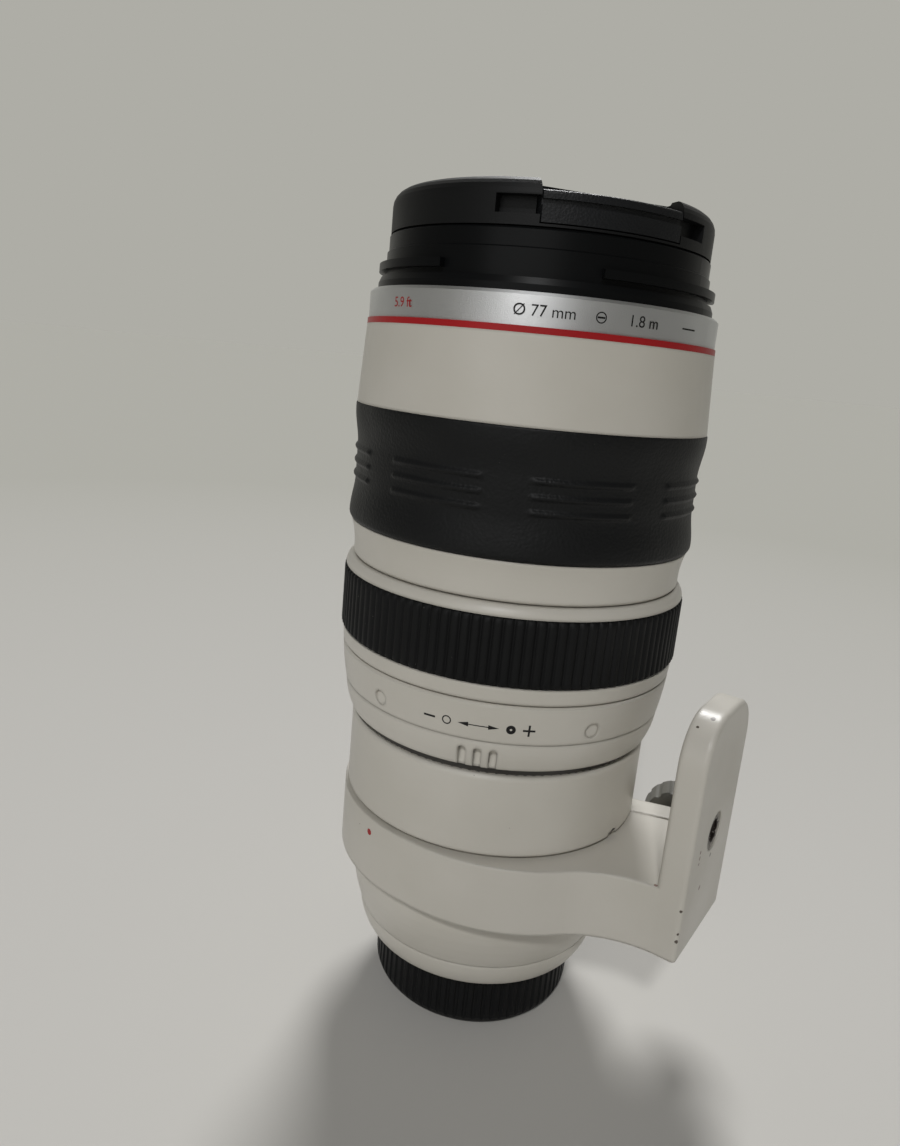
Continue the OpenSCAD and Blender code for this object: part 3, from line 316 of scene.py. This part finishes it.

# %% [markdown]
# ### Wear, dirt and painted shade
# The foot has been knocked: small chips on its edges and its outer face, some with rust. The tripod thread is
# full of dirt. The tube is painted dark where it shows in the gap below the tension ring, as painted shade in
# the gap, and the index notch in the main barrel's lower rim is painted dark, as painted shade in its recess.
# Chips this small could be carved, but they have no depth that shows from a step away, so all of these are
# painted over the finishes.

# %% Paint wear, dirt and shade over the finishes
# The dark brown is real dirt in the tripod thread, and painted shade in the index notch's recess.
BARE, RUST, DIRT_AND_SHADE = srgb(84, 75, 67), srgb(122, 92, 80), srgb(34, 26, 21)
# A painted shade for the gap below the tension ring.
PAINTED_GAP_SHADE = srgb(48, 45, 41)
RAGGED_SCALE = 1100.0
LEAST_REACH, MOST_REACH = 0.4, 1.6


def paint_over(finish, mask, colour):
    """Lays a colour over a finish where the mask is 1."""
    tree = finish.node_tree
    base = tree.nodes["Principled BSDF"].inputs["Base Color"]
    feed(tree, base, mix_colour(tree, mask, base.links[0].from_socket, colour))


def paint_spot(finish, spot, radius, colour):
    """A stain with a ragged edge round a place, in millimetres."""
    tree, place = finish.node_tree, place_in(finish)
    ragged = add_node(tree, "ShaderNodeTexNoise", Vector=place, Scale=RAGGED_SCALE, Detail=2.0).outputs[0]
    away = tree.nodes.new("ShaderNodeVectorMath")
    away.operation = "DISTANCE"
    feed(tree, away.inputs[0], place)
    feed(tree, away.inputs[1], [c * MM for c in spot])
    reach = add_node(
        tree, "ShaderNodeMapRange", Value=ragged,
        To_Min=LEAST_REACH * radius * MM, To_Max=MOST_REACH * radius * MM,
    )
    paint_over(finish, sum_up(tree, "LESS_THAN", away.outputs["Value"], reach.outputs[0]), colour)


knocks = [
    ((62.8, -9.2, 103.7), 0.6, BARE), ((60.4, -12.4, 101.9), 0.4, BARE), ((65.5, 0.0, 64.7), 0.6, BARE),
    ((65.5, -5.2, 58.0), 0.6, RUST), ((65.2, -16.7, 57.3), 0.45, BARE), ((65.5, -10.0, 70.0), 0.5, RUST),
    ((65.5, -9.8, 68.4), 0.5, RUST), ((65.5, -9.8, 66.8), 0.4, RUST), ((58.0, -16.4, 61.1), 0.5, RUST),
    ((65.2, -16.5, 49.0), 0.5, BARE), ((65.2, -16.5, 51.0), 0.4, BARE),
]
for spot, radius, colour in knocks:
    paint_spot(finishes["worn_paint"], spot, radius, colour)
bush_low, bush_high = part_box("tripod_bush")
bush_axis_z = (bush_low[2] + bush_high[2]) / 2
dirt_reach = 3.6
for depth in (0.6, 3.2, 5.7):
    paint_spot(finishes["worn_steel"], (bush_high[0] / MM - depth, 0, bush_axis_z / MM), dirt_reach, DIRT_AND_SHADE)
# Painted shade: the index notch's recess is painted dark.
index_notch, notch_size = (40.6, -4.3, 62.4), 1.5
paint_spot(finishes["barrel_paint"], index_notch, notch_size, DIRT_AND_SHADE)

# Painted shade: the tube is painted dark below the tension ring's lower edge, where the gap shades it.
tube_shaded_finish = finishes["tube_paint"]
tube_tree = tube_shaded_finish.node_tree
tube_place = add_node(tube_tree, "ShaderNodeSeparateXYZ", Vector=place_in(tube_shaded_finish))
gap_lip = 0.3 * MM
gap_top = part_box("tension_ring")[0][2] + gap_lip
paint_over(tube_shaded_finish, sum_up(tube_tree, "LESS_THAN", tube_place.outputs["Z"], gap_top), PAINTED_GAP_SHADE)
print(len(knocks), "knocks on the foot, and a dark gap up to", round(gap_top / MM, 1), "mm")

# %% [markdown]
# ## Dressing the solids
# The imported record says which finish each solid has. Each solid's own material slots take it, and the solid
# itself isn't touched. The collar, its knob, the tube and the cap's tabs wear a version of their finish. The
# knob's version is a darker grey as painted shade, and the tube's carries painted shade in its gap.

# %% Give every solid its finish
finish_of = {subpart["node"]: subpart["material_slot"] for subpart in frame["record"]["subparts"]}
own_finish = {"tripod_collar": "worn_paint", "clamp_knob": "knob_painted_shade", "scale_tube": "tube_paint",
              "cap_tab_near": "tab_plastic", "cap_tab_far": "tab_plastic"}
for name, node in nodes.items():
    for material_slot in node.material_slots:
        material_slot.material = finishes[own_finish.get(name, finish_of[name])]
print("dressed", len(nodes), "solids")

# %% [markdown]
# ## Making pieces
# A piece made here is a plain mesh at the origin, with its place in its vertices. It rides on one of the
# bodies and wears one of the finishes made here, so it moves with the solid it sits on.

# %% Piece helpers
def put_in_scene(name, mesh, finish, body, stands_for=()):
    """A finished piece from a mesh, riding on a body."""
    mesh.materials.clear()
    mesh.materials.append(finish)
    piece = bpy.data.objects.new(name, mesh)
    bpy.context.collection.objects.link(piece)
    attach(piece, body)
    if stands_for:
        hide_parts(*stands_for)


def mesh_of(shape, name, smooth=True):
    """A mesh datablock from a bmesh, which is freed."""
    mesh = bpy.data.meshes.new(name)
    shape.to_mesh(mesh)
    shape.free()
    if smooth:
        mesh.shade_smooth()
    else:
        mesh.shade_flat()
    return mesh


def polar(radius, angle, height):
    """A point at a radius, an angle and a height."""
    return Vector((radius * math.cos(angle), radius * math.sin(angle), height))


def open_slice(columns):
    """A slice of a band, open at both sides: each column is the outline at one angle, and all are joined."""
    shape = bmesh.new()
    outlines = [[shape.verts.new(point) for point in column] for column in columns]
    for before, after in zip(outlines, outlines[1:]):
        for k in range(len(before)):
            n = (k + 1) % len(before)
            shape.faces.new((before[k], after[k], after[n], before[n]))
    return shape


print("piece helpers ready")

# %% [markdown]
# ## A ring of equal pieces
# Ribs and groups of ribs repeat round the lens at equal angles. They could be copied by a loop, but one
# Geometry Nodes tree does it for any piece: it makes a point for each copy, turns each copy by its share of
# a full turn, welds neighbours that meet, and sets the finish. The result is turned into a plain mesh,
# because instances don't survive the export.

# %% Geometry nodes for a ring
ring_tree = bpy.data.node_groups.new("ring_of_pieces", "GeometryNodeTree")
ring_inputs = {}
for title, kind in (("Piece", "NodeSocketObject"), ("Count", "NodeSocketInt"), ("Start", FLOAT),
                    ("Finish", "NodeSocketMaterial")):
    ring_inputs[title] = ring_tree.interface.new_socket(title, in_out="INPUT", socket_type=kind).identifier
ring_tree.interface.new_socket("Geometry", in_out="OUTPUT", socket_type="NodeSocketGeometry")
given = ring_tree.nodes.new("NodeGroupInput").outputs
source = add_node(ring_tree, "GeometryNodeObjectInfo", Object=given["Piece"])
points = add_node(ring_tree, "GeometryNodePoints", Count=given["Count"])
step = sum_up(ring_tree, "DIVIDE", 2 * math.pi, given["Count"])
share = sum_up(ring_tree, "MULTIPLY", ring_tree.nodes.new("GeometryNodeInputIndex").outputs[0], step)
turn = add_node(ring_tree, "FunctionNodeAxisAngleToRotation", Axis=(0, 0, 1))
feed(ring_tree, turn.inputs["Angle"], sum_up(ring_tree, "ADD", share, given["Start"]))
copies = add_node(
    ring_tree, "GeometryNodeInstanceOnPoints",
    Points=points.outputs[0], Instance=source.outputs["Geometry"], Rotation=turn.outputs[0],
)
real = add_node(ring_tree, "GeometryNodeRealizeInstances", Geometry=copies.outputs[0])
welded = add_node(ring_tree, "GeometryNodeMergeByDistance", Geometry=real.outputs[0], Distance=2 * MICRON)
painted = add_node(ring_tree, "GeometryNodeSetMaterial", Geometry=welded.outputs[0], Material=given["Finish"])
feed(ring_tree, ring_tree.nodes.new("NodeGroupOutput").inputs[0], painted.outputs[0])


def ring_of(name, mesh, count, start, finish):
    """A mesh with that many copies of a mesh, at equal angles round the lens."""
    single = bpy.data.objects.new(name + "_single", mesh)
    host = bpy.data.objects.new(name + "_host", bpy.data.meshes.new(name))
    for thing in (single, host):
        bpy.context.collection.objects.link(thing)
    modifier = host.modifiers.new("ring", "NODES")
    modifier.node_group = ring_tree
    for title, value in (("Piece", single), ("Count", count), ("Start", start), ("Finish", finish)):
        modifier[ring_inputs[title]] = value
    graph = bpy.context.evaluated_depsgraph_get()
    ring = bpy.data.meshes.new_from_object(host.evaluated_get(graph))
    ring.name = name
    for thing in (host, single):
        bpy.data.objects.remove(thing)
    print(name, "-", count, "copies,", len(ring.polygons), "faces")
    return ring


print("ring tree has inputs", list(ring_inputs))

# %% [markdown]
# ## Ribbed rubber of the focus ring
# The focus ring wears a band of rubber with fine upright ribs, rounded across and rounded off at both ends,
# so its upper edge looks scalloped. A bump would show the ribs but not the scalloped edge, so they are
# modelled: one rib with half a valley on each side is an open slice, and the ring tree turns it into a
# closed band.

# %% Focus rubber
low, high = (corner[2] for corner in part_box("focus_grip"))
rib_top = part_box("focus_grip")[1][0]
band_wall = 1.7 * MM
rib_count = 114
rib_depth = 0.7 * MM
rib_width, rib_squareness = 0.86, 2.6
end_round, end_sink = 0.9 * MM, 0.35 * MM
ACROSS, ALONG = 10, 14


def rib_radius(across, along):
    """Radius of the rubber at a share across the slice, -1 to 1, and a height above its lower edge."""
    swell = max(0.0, 1 - abs(across / rib_width) ** rib_squareness) ** 0.5
    from_end = min(along, high - low - along)
    droop = max(0.0, 1 - from_end / end_round)
    return rib_top - rib_depth * (1 - swell) - (end_sink + rib_depth * swell) * droop ** 2


def end_spaced(share):
    """A share from 0 to 1, crowded towards both ends."""
    return 0.5 - 0.5 * math.cos(math.pi * share)


band_seat = rib_top - band_wall
half_angle = math.pi / rib_count
columns = []
for i in range(ACROSS + 1):
    across = 2 * i / ACROSS - 1
    angle = across * half_angle
    column = [polar(band_seat, angle, low)]
    for k in range(ALONG + 1):
        along = end_spaced(k / ALONG) * (high - low)
        column.append(polar(rib_radius(across, along), angle, low + along))
    columns.append(column + [polar(band_seat, angle, high)])
rib_mesh = mesh_of(open_slice(columns), "rib")
focus_band = ring_of("focus_rubber", rib_mesh, rib_count, 0.0, finishes["focus_rubber"])
put_in_scene(
    "focus_rubber", focus_band, finishes["focus_rubber"], "focus_ring", ["focus_grip"]
)

# %% [markdown]
# ## Leather-grained rubber of the zoom grip
# The zoom grip is a waisted sleeve of rubber with a raised rim at each end and eight groups of three short
# ribs round its waist. The ribs swell out of the rubber and fade at their ends, which separate bars stuck
# on the sleeve wouldn't do. So the grip is one surface, whose radius follows a profile plus the ribs.

# %% Shape of the zoom grip
grip_low, grip_high = (corner[2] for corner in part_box("zoom_grip"))
grip_h = grip_high - grip_low
grip_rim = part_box("zoom_grip")[1][0]
grip_waist = 1.0 * MM
rim_flat, waist_run = 1.6 * MM, 9.0 * MM
low_round, high_round = 1.4 * MM, 0.5 * MM
grip_groups, rib_rows = 8, 3
group_angle = 2 * math.pi / grip_groups
rib_share = 0.73
rib_pitch = 3.5 * MM
rib_height = 0.55 * MM
rib_half_width = 0.95 * MM
rib_fade = 1.6 * MM
rib_fullness = 1.4


def ease(value):
    """0 below 0, 1 above 1, and a smooth ramp between."""
    value = min(1.0, max(0.0, value))
    return value * value * (3 - 2 * value)


def grip_profile(height):
    """Radius of the grip without ribs, at a height above its lower edge."""
    from_end = min(height, grip_h - height)
    waist = grip_waist * ease((from_end - rim_flat) / waist_run)
    round_off = low_round if height < grip_h / 2 else high_round
    edge = max(0.0, 1 - from_end / round_off)
    return grip_rim - waist - round_off * (1 - math.sqrt(max(0.0, 1 - edge * edge)))


def grip_ribs(share, height):
    """How far the ribs stand out, at a share of the group's angle and a height."""
    length = rib_share * group_angle * grip_rim
    along = (share - (1 - rib_share) / 2) / rib_share
    taper = ease(min(along, 1 - along) * length / rib_fade)
    out = 0.0
    for row in range(rib_rows):
        row_height = grip_h / 2 + (row - (rib_rows - 1) / 2) * rib_pitch
        offset = abs(height - row_height) / rib_half_width
        out = max(out, math.cos(min(offset, 1) * math.pi / 2) ** rib_fullness)
    return rib_height * taper * out


print("grip", round(grip_h / MM, 1), "mm high, with", grip_groups * rib_rows, "ribs")

# %% [markdown]
# One eighth of the sleeve is a grid, and the ring tree closes it. The grid's levels are crowded where the
# rubber bends most, at the round edges of its rims and across the ribs, and wide apart in between.

# %% Zoom grip
grip_wall = 2.6 * MM
grip_columns = 72
rim_levels = [0.0, 0.06, 0.15, 0.3, 0.5, 0.75, 1.0, 1.3, 1.6]
plain_rows = 14
fine_step = 0.2 * MM
first_rib = math.radians(-59.2)

rib_zone = (rib_rows + 1) * rib_pitch / 2
ribs_from = grip_h / 2 - rib_zone
fine_rows = int(rib_zone / fine_step)
levels = [level_mm * MM for level_mm in rim_levels]
levels += [rim_flat + (ribs_from - rim_flat) * k / plain_rows for k in range(1, plain_rows)]
levels += [ribs_from + rib_zone * k / fine_rows for k in range(fine_rows)]
levels += [grip_h / 2] + [grip_h - value for value in reversed(levels)]

grip_seat = grip_rim - grip_wall
columns = []
for i in range(grip_columns + 1):
    share = i / grip_columns
    angle = share * group_angle
    column = [polar(grip_seat, angle, grip_low)]
    for value in levels:
        column.append(polar(grip_profile(value) + grip_ribs(share, value), angle, grip_low + value))
    columns.append(column + [polar(grip_seat, angle, grip_high)])
grip_start = first_rib - (1 - rib_share) / 2 * group_angle
grip_slice = mesh_of(open_slice(columns), "grip")
grip_mesh = ring_of("zoom_rubber", grip_slice, grip_groups, grip_start, finishes["grip_rubber"])
put_in_scene("zoom_rubber", grip_mesh, finishes["grip_rubber"], "zoom_sleeve", ["zoom_grip"])

# %% [markdown]
# ## Thread in the tripod bush
# A steel bush in the foot takes a tripod screw. A striped bump would do from afar, but the bush faces the
# camera, so its bore has a real helical thread: the radius rises and falls with the distance along the bore
# minus the angle round it, and one grid makes the whole helix.

# %% Tripod bush
bush_length = bush_high[0] - bush_low[0]
bush_outer = (bush_high[2] - bush_low[2]) / 2
thread_minor = 2.55 * MM
thread_depth = 0.55 * MM
thread_pitch = 1.27 * MM
mouth = 0.5 * MM
ROUND, DEEP = 48, 66


def bush_point(along, radius, i):
    """A point of the bush, at a distance along it and a radius, at one of its angles."""
    angle = 2 * math.pi * i / ROUND
    return (bush_low[0] + along, radius * math.cos(angle), bush_axis_z + radius * math.sin(angle))


bush_shape = bmesh.new()
rings = []
for k in range(DEEP + 1):
    along = bush_length * k / DEEP
    widen = max(0.0, mouth - min(along, bush_length - along))
    ring = []
    for i in range(ROUND):
        phase = (along / thread_pitch - i / ROUND) % 1.0
        radius = thread_minor + max(thread_depth * abs(1 - 2 * phase), widen)
        ring.append(bush_shape.verts.new(bush_point(along, radius, i)))
    rings.append(ring)
for along in (bush_length, 0.0):
    rings.append([bush_shape.verts.new(bush_point(along, bush_outer, i)) for i in range(ROUND)])
for near, far in zip(rings, rings[1:] + rings[:1]):
    for i in range(ROUND):
        n = (i + 1) % ROUND
        bush_shape.faces.new((near[i], near[n], far[n], far[i]))
bmesh.ops.recalc_face_normals(bush_shape, faces=bush_shape.faces)
bush_mesh = mesh_of(bush_shape, "threaded_bush", smooth=False)
put_in_scene("threaded_bush", bush_mesh, finishes["worn_steel"], "collar", ["tripod_bush"])
print("thread of", round(bush_length / thread_pitch, 1), "turns")

# %% [markdown]
# ## Printed marks
# The marks are printed or filled flush with the paint. A picture of them could be projected, but it would
# blur close up. So each starts as a flat shape, with x round the lens and y along it: a bar, a circle, a
# ring, or plain figures in the font that comes with Blender.

# %% Flat shapes
FIGURE_SHARE = 0.7


def flat_polygon(*outlines):
    """A flat shape from outlines in millimetres: each is filled as one face."""
    shape = bmesh.new()
    for outline in outlines:
        shape.faces.new([shape.verts.new((x * MM, y * MM, 0)) for x, y in outline])
    return shape


def circle_points(radius, count=32):
    """Points round a circle."""
    angles = [2 * math.pi * i / count for i in range(count)]
    return [(radius * math.cos(a), radius * math.sin(a)) for a in angles]


def bar(width, height):
    """A flat bar, centred."""
    x, y = width / 2, height / 2
    return flat_polygon([(-x, -y), (x, -y), (x, y), (-x, y)])


def flat_ring(outer, inner, count=32):
    """A flat ring, as a strip of quads."""
    outside, inside = circle_points(outer, count), circle_points(inner, count)
    quads = [(outside[i - 1], outside[i], inside[i], inside[i - 1]) for i in range(count)]
    shape = flat_polygon(*quads)
    bmesh.ops.remove_doubles(shape, verts=shape.verts, dist=MICRON)
    return shape


def flat_text(words, height):
    """Plain figures of that height in millimetres, centred."""
    curve = bpy.data.curves.new("figures", "FONT")
    curve.body = words
    curve.align_x, curve.align_y = "CENTER", "CENTER"
    curve.size = height * MM / FIGURE_SHARE
    holder = bpy.data.objects.new("figures", curve)
    bpy.context.collection.objects.link(holder)
    mesh = bpy.data.meshes.new_from_object(holder.evaluated_get(bpy.context.evaluated_depsgraph_get()))
    shape = bmesh.new()
    shape.from_mesh(mesh)
    bpy.data.objects.remove(holder)
    return shape


print("flat shapes ready")

# %% [markdown]
# ### Laying a mark on a solid
# A flat shape is cut into narrow strips so that it can bend, and is then laid on the solid by casting rays at
# it. A Shrinkwrap modifier could do that too, but rays also give the way that the surface faces. A hair's
# thickness keeps the mark above the surface.

# %% Laying marks
INK_LIFT = 0.03 * MM
INK_DEPTH = 0.07 * MM
STRIP = 0.6 * MM


def surface_of(node):
    """A solid's surface, for casting rays at."""
    mesh = nodes[node].data
    return BVHTree.FromPolygons([v.co for v in mesh.vertices], [p.vertices for p in mesh.polygons])


def lay_on(shape, node, azimuth, height):
    """Bends a flat shape round a solid, centred at an azimuth in degrees and a height in millimetres."""
    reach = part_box(node)[1][1]
    xs = [v.co.x for v in shape.verts]
    for k in range(math.ceil((max(xs) - min(xs)) / STRIP)):
        everything = shape.verts[:] + shape.edges[:] + shape.faces[:]
        cut = (min(xs) + STRIP * (k + 0.5), 0, 0)
        bmesh.ops.bisect_plane(shape, geom=everything, dist=MICRON / 10, plane_co=cut, plane_no=(1, 0, 0))
    surface = surface_of(node)
    for vert in shape.verts:
        angle = math.radians(azimuth) + vert.co.x / reach
        outward = polar(1, angle, 0)
        spot, normal, _, _ = surface.ray_cast(polar(2 * reach, angle, height * MM + vert.co.y), -outward)
        vert.co = spot + normal * INK_LIFT
    bmesh.ops.recalc_face_normals(shape, faces=shape.faces)
    faces = shape.faces[:]
    if sum(face.normal.dot(face.calc_center_median().xy.to_3d()) for face in faces) < 0:
        bmesh.ops.reverse_faces(shape, faces=faces)
    bmesh.ops.solidify(shape, geom=faces, thickness=INK_DEPTH)
    bmesh.ops.recalc_face_normals(shape, faces=shape.faces)
    return shape


def print_marks(name, marks, node, body, ink):
    """One piece from several marks, each (flat shape, azimuth, height), on the same solid."""
    whole = bmesh.new()
    for shape, azimuth, height in marks:
        mesh = mesh_of(lay_on(shape, node, azimuth, height), "mark", smooth=False)
        whole.from_mesh(mesh)
        bpy.data.meshes.remove(mesh)
    print(name, "-", len(marks), "marks,", len(whole.faces), "faces")
    put_in_scene(name, mesh_of(whole, name, smooth=False), finishes[ink], body)


def height_of(node, share):
    """A height in millimetres at a share of a solid's own height."""
    low_corner, high_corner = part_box(node)
    return (low_corner[2] + share * (high_corner[2] - low_corner[2])) / MM


print("mark helpers ready")

# %% [markdown]
# The tension ring shows which way it tightens: a minus sign and an open circle on the loose side, a double
# arrow, and a filled circle and a plus sign on the tight side. The collar has one red dot to line it up by.

# %% Marks on the tension ring and the collar
shaft, tip, shaft_half, head_half = 2.4, 5.0, 0.12, 0.6
arrow = flat_polygon(
    [(-shaft, -shaft_half), (shaft, -shaft_half), (shaft, shaft_half), (-shaft, shaft_half)],
    [(shaft, head_half), (shaft, -head_half), (tip, 0)],
    [(-shaft, -head_half), (-shaft, head_half), (-tip, 0)],
)
arm, stroke = 1.5, 0.25
plus = flat_polygon(
    [(-arm, -stroke), (arm, -stroke), (arm, stroke), (-arm, stroke)],
    [(-stroke, stroke), (stroke, stroke), (stroke, arm), (-stroke, arm)],
    [(-stroke, -arm), (stroke, -arm), (stroke, -stroke), (-stroke, -stroke)],
)
tension_z = height_of("tension_ring", 0.66)
tension_marks = [
    (bar(3.0, 0.5), -81.5, tension_z), (flat_ring(1.15, 0.85), -75.8, tension_z), (arrow, -65.9, tension_z),
    (flat_ring(1.15, 0.3), -56.0, tension_z), (plus, -50.5, tension_z),
]
print_marks("tension_marks", tension_marks, "tension_ring", "tension_ring", "black_ink")
dot = (flat_polygon(circle_points(0.85)), -106.1, height_of("collar_liner", 0.8))
print_marks("collar_dot", [dot], "tripod_collar", "collar", "red_ink")

# %% [markdown]
# The name ring carries plain figures only: the diameter of the filter thread and the nearest distance, in
# metres and, in red, in feet, with a short line after them. Between the figures is a small set screw. It is
# flush with the ring, so it is drawn like the figures, as a ring with its slot.

# %% Figures on the name ring
name_z = height_of("name_ring", 0.45)
name_marks = [
    (flat_text("Ø 77 mm", 2.4), -60.0, name_z), (flat_text("1.8 m", 2.4), -31.0, name_z),
    (bar(5.0, 0.35), -12.6, name_z),
    (flat_ring(1.2, 0.95), -44.3, name_z), (bar(1.7, 0.4), -44.3, name_z),
]
print_marks("name_figures", name_marks, "name_ring", "zoom_sleeve", "black_ink")
feet = (flat_text("5.9 ft", 2.2), -106.0, name_z)
print_marks("name_red_figures", [feet], "name_ring", "zoom_sleeve", "red_ink")

# %% [markdown]
# ## Scales on the hidden sides
# Behind the window on the far side, the distance drum carries white figures in metres. The tube under the
# sliding sleeve shows the zoom setting when the sleeve is pushed forward. The switches have a dot for each
# of their two places.

# %% Scales and switch dots
drum_z = height_of("scale_window", 0.5)
distances = [
    ("∞", 180), ("30", 171), ("10", 162), ("5", 152), ("3", 140), ("2.5", 130), ("2", 119), ("1.8", 110),
]
drum_marks = [(flat_text(figure, 2.6), azimuth, drum_z) for figure, azimuth in distances]
print_marks("distance_figures", drum_marks, "distance_drum", "distance_drum", "white_ink")

bared_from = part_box("front_sleeve")[0][2] / MM
zoom_figures = [("135", 8.0), ("200", 24.5), ("300", 42.5), ("400", 56.5)]
zoom_marks = [(flat_text(figure, 2.8), -66.0, bared_from + out) for figure, out in zoom_figures]
zoom_marks += [(bar(1.6, 0.3), -58.5, bared_from + out) for _, out in zoom_figures]
print_marks("zoom_figures", zoom_marks, "scale_tube", "lens_body", "black_ink")

dot_radius, dot_aside = 0.4, 3.6
dots = []
for name in ("focus_mode_switch", "focus_range_switch", "stabiliser_switch", "stabiliser_mode_switch"):
    near_corner, far_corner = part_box(name)
    azimuth = math.degrees(math.atan2(near_corner[1] + far_corner[1], near_corner[0] + far_corner[0]))
    for share in (0.41, 0.59):
        spot = flat_polygon(circle_points(dot_radius, 16))
        dots.append((spot, azimuth + dot_aside, height_of("switch_plate", share)))
print_marks("switch_dots", dots, "switch_plate", "lens_body", "white_ink")

# %% [markdown]
# ## The table
# The table is pale and matt. Its colour is painted lightest round the lens and greyer far off, a painted
# falloff of light, until it has the backdrop's tone, so that no horizon shows. A curved backdrop would do the
# same from the front, but a wide, flat disc does it from every side.

# %% Table
TABLE_TONE, FAR_PAINTED_SHADE = srgb(204, 202, 197), srgb(189, 188, 180)
PALE_REACH, FAR_REACH = 0.15, 0.9
TABLE_RADIUS = 40.0
table_finish = make_finish(
    "table", TABLE_TONE, TABLE_TONE, 0.5, 300, 0.0, Specular_IOR_Level=0.0
)
table_tree = table_finish.node_tree
away = table_tree.nodes.new("ShaderNodeVectorMath")
away.operation = "LENGTH"
feed(table_tree, away.inputs[0], place_in(table_finish))
# Painted falloff of light: the table's colour turns greyer with distance from the lens.
painted_falloff = add_node(
    table_tree, "ShaderNodeMapRange", Value=away.outputs["Value"], From_Min=PALE_REACH, From_Max=FAR_REACH
)
paint_over(table_finish, painted_falloff.outputs[0], FAR_PAINTED_SHADE)

table_shape = bmesh.new()
bmesh.ops.create_circle(table_shape, cap_ends=True, segments=96, radius=TABLE_RADIUS)
table = bpy.data.objects.new("table", mesh_of(table_shape, "table", smooth=False))
table.data.materials.append(table_finish)
bpy.context.collection.objects.link(table)
print("table laid, with a radius of", TABLE_RADIUS, "m")

# %% [markdown]
# ## The light
# One lamp shines from behind, so the shadow falls towards the photographer. One hangs above the
# photographer's left shoulder, with a weak, broad glow below it. Lamps close by would light the near table
# more than the rest, so all three are suns, which light it evenly.

# %% Lamps
def add_lamp(name, strength, spread, azimuth, elevation):
    """A far lamp, with its angular size, azimuth and elevation in degrees."""
    angle, tilt = math.radians(azimuth), math.radians(elevation)
    towards = Vector((math.cos(angle) * math.cos(tilt), math.sin(angle) * math.cos(tilt), math.sin(tilt)))
    lamp = bpy.data.lights.new(name, "SUN")
    lamp.energy, lamp.angle = strength, math.radians(spread)
    holder = bpy.data.objects.new(name, lamp)
    holder.rotation_euler = (-towards).to_track_quat("-Z", "Y").to_euler()
    bpy.context.collection.objects.link(holder)


add_lamp("back", strength=2.1, spread=16, azimuth=120, elevation=52)
add_lamp("front", strength=1.0, spread=5, azimuth=-68, elevation=44)
add_lamp("fill", strength=0.62, spread=50, azimuth=-78, elevation=12)
print("lit by", [light.name for light in bpy.data.lights])

# %% [markdown]
# ### The room
# The room that the camera, gloss and glass see has tones of its own, by the Light Path node: a pale backdrop,
# and for gloss and glass dim space on the photographer's side. A stronger sky would make the backdrop pale
# too, but it would wash out the shadow.

# %% Room tones
BACKDROP, DIM_ROOM, SKY = srgb(174, 173, 166), srgb(92, 91, 87), (0.04, 0.04, 0.04, 1)
BACKDROP_WAY = (-0.49, 0.87, 0)
DIM_UP_TO, PALE_FROM = 0.1, 0.8

sky = bpy.data.worlds.new("sky")
bpy.context.scene.world = sky
sky.use_nodes = True
sky_tree = sky.node_tree
path = sky_tree.nodes.new("ShaderNodeLightPath").outputs
mirrored = sum_up(sky_tree, "MAXIMUM", path["Is Glossy Ray"], path["Is Transmission Ray"])
seen = sum_up(sky_tree, "MAXIMUM", path["Is Camera Ray"], mirrored)
ahead = sky_tree.nodes.new("ShaderNodeVectorMath")
ahead.operation = "DOT_PRODUCT"
feed(sky_tree, ahead.inputs[0], sky_tree.nodes.new("ShaderNodeTexCoord").outputs["Generated"])
feed(sky_tree, ahead.inputs[1], BACKDROP_WAY)
on_backdrop = add_node(
    sky_tree, "ShaderNodeMapRange", Value=ahead.outputs["Value"], From_Min=DIM_UP_TO, From_Max=PALE_FROM
)
pale = sum_up(sky_tree, "MAXIMUM", on_backdrop.outputs[0], path["Is Camera Ray"])
room_tone = mix_colour(sky_tree, pale, DIM_ROOM, BACKDROP)
sky_tone = mix_colour(sky_tree, seen, SKY, room_tone)
feed(sky_tree, sky_tree.nodes["Background"].inputs["Color"], sky_tone)
print("room tones set in", len(sky_tree.nodes), "nodes")
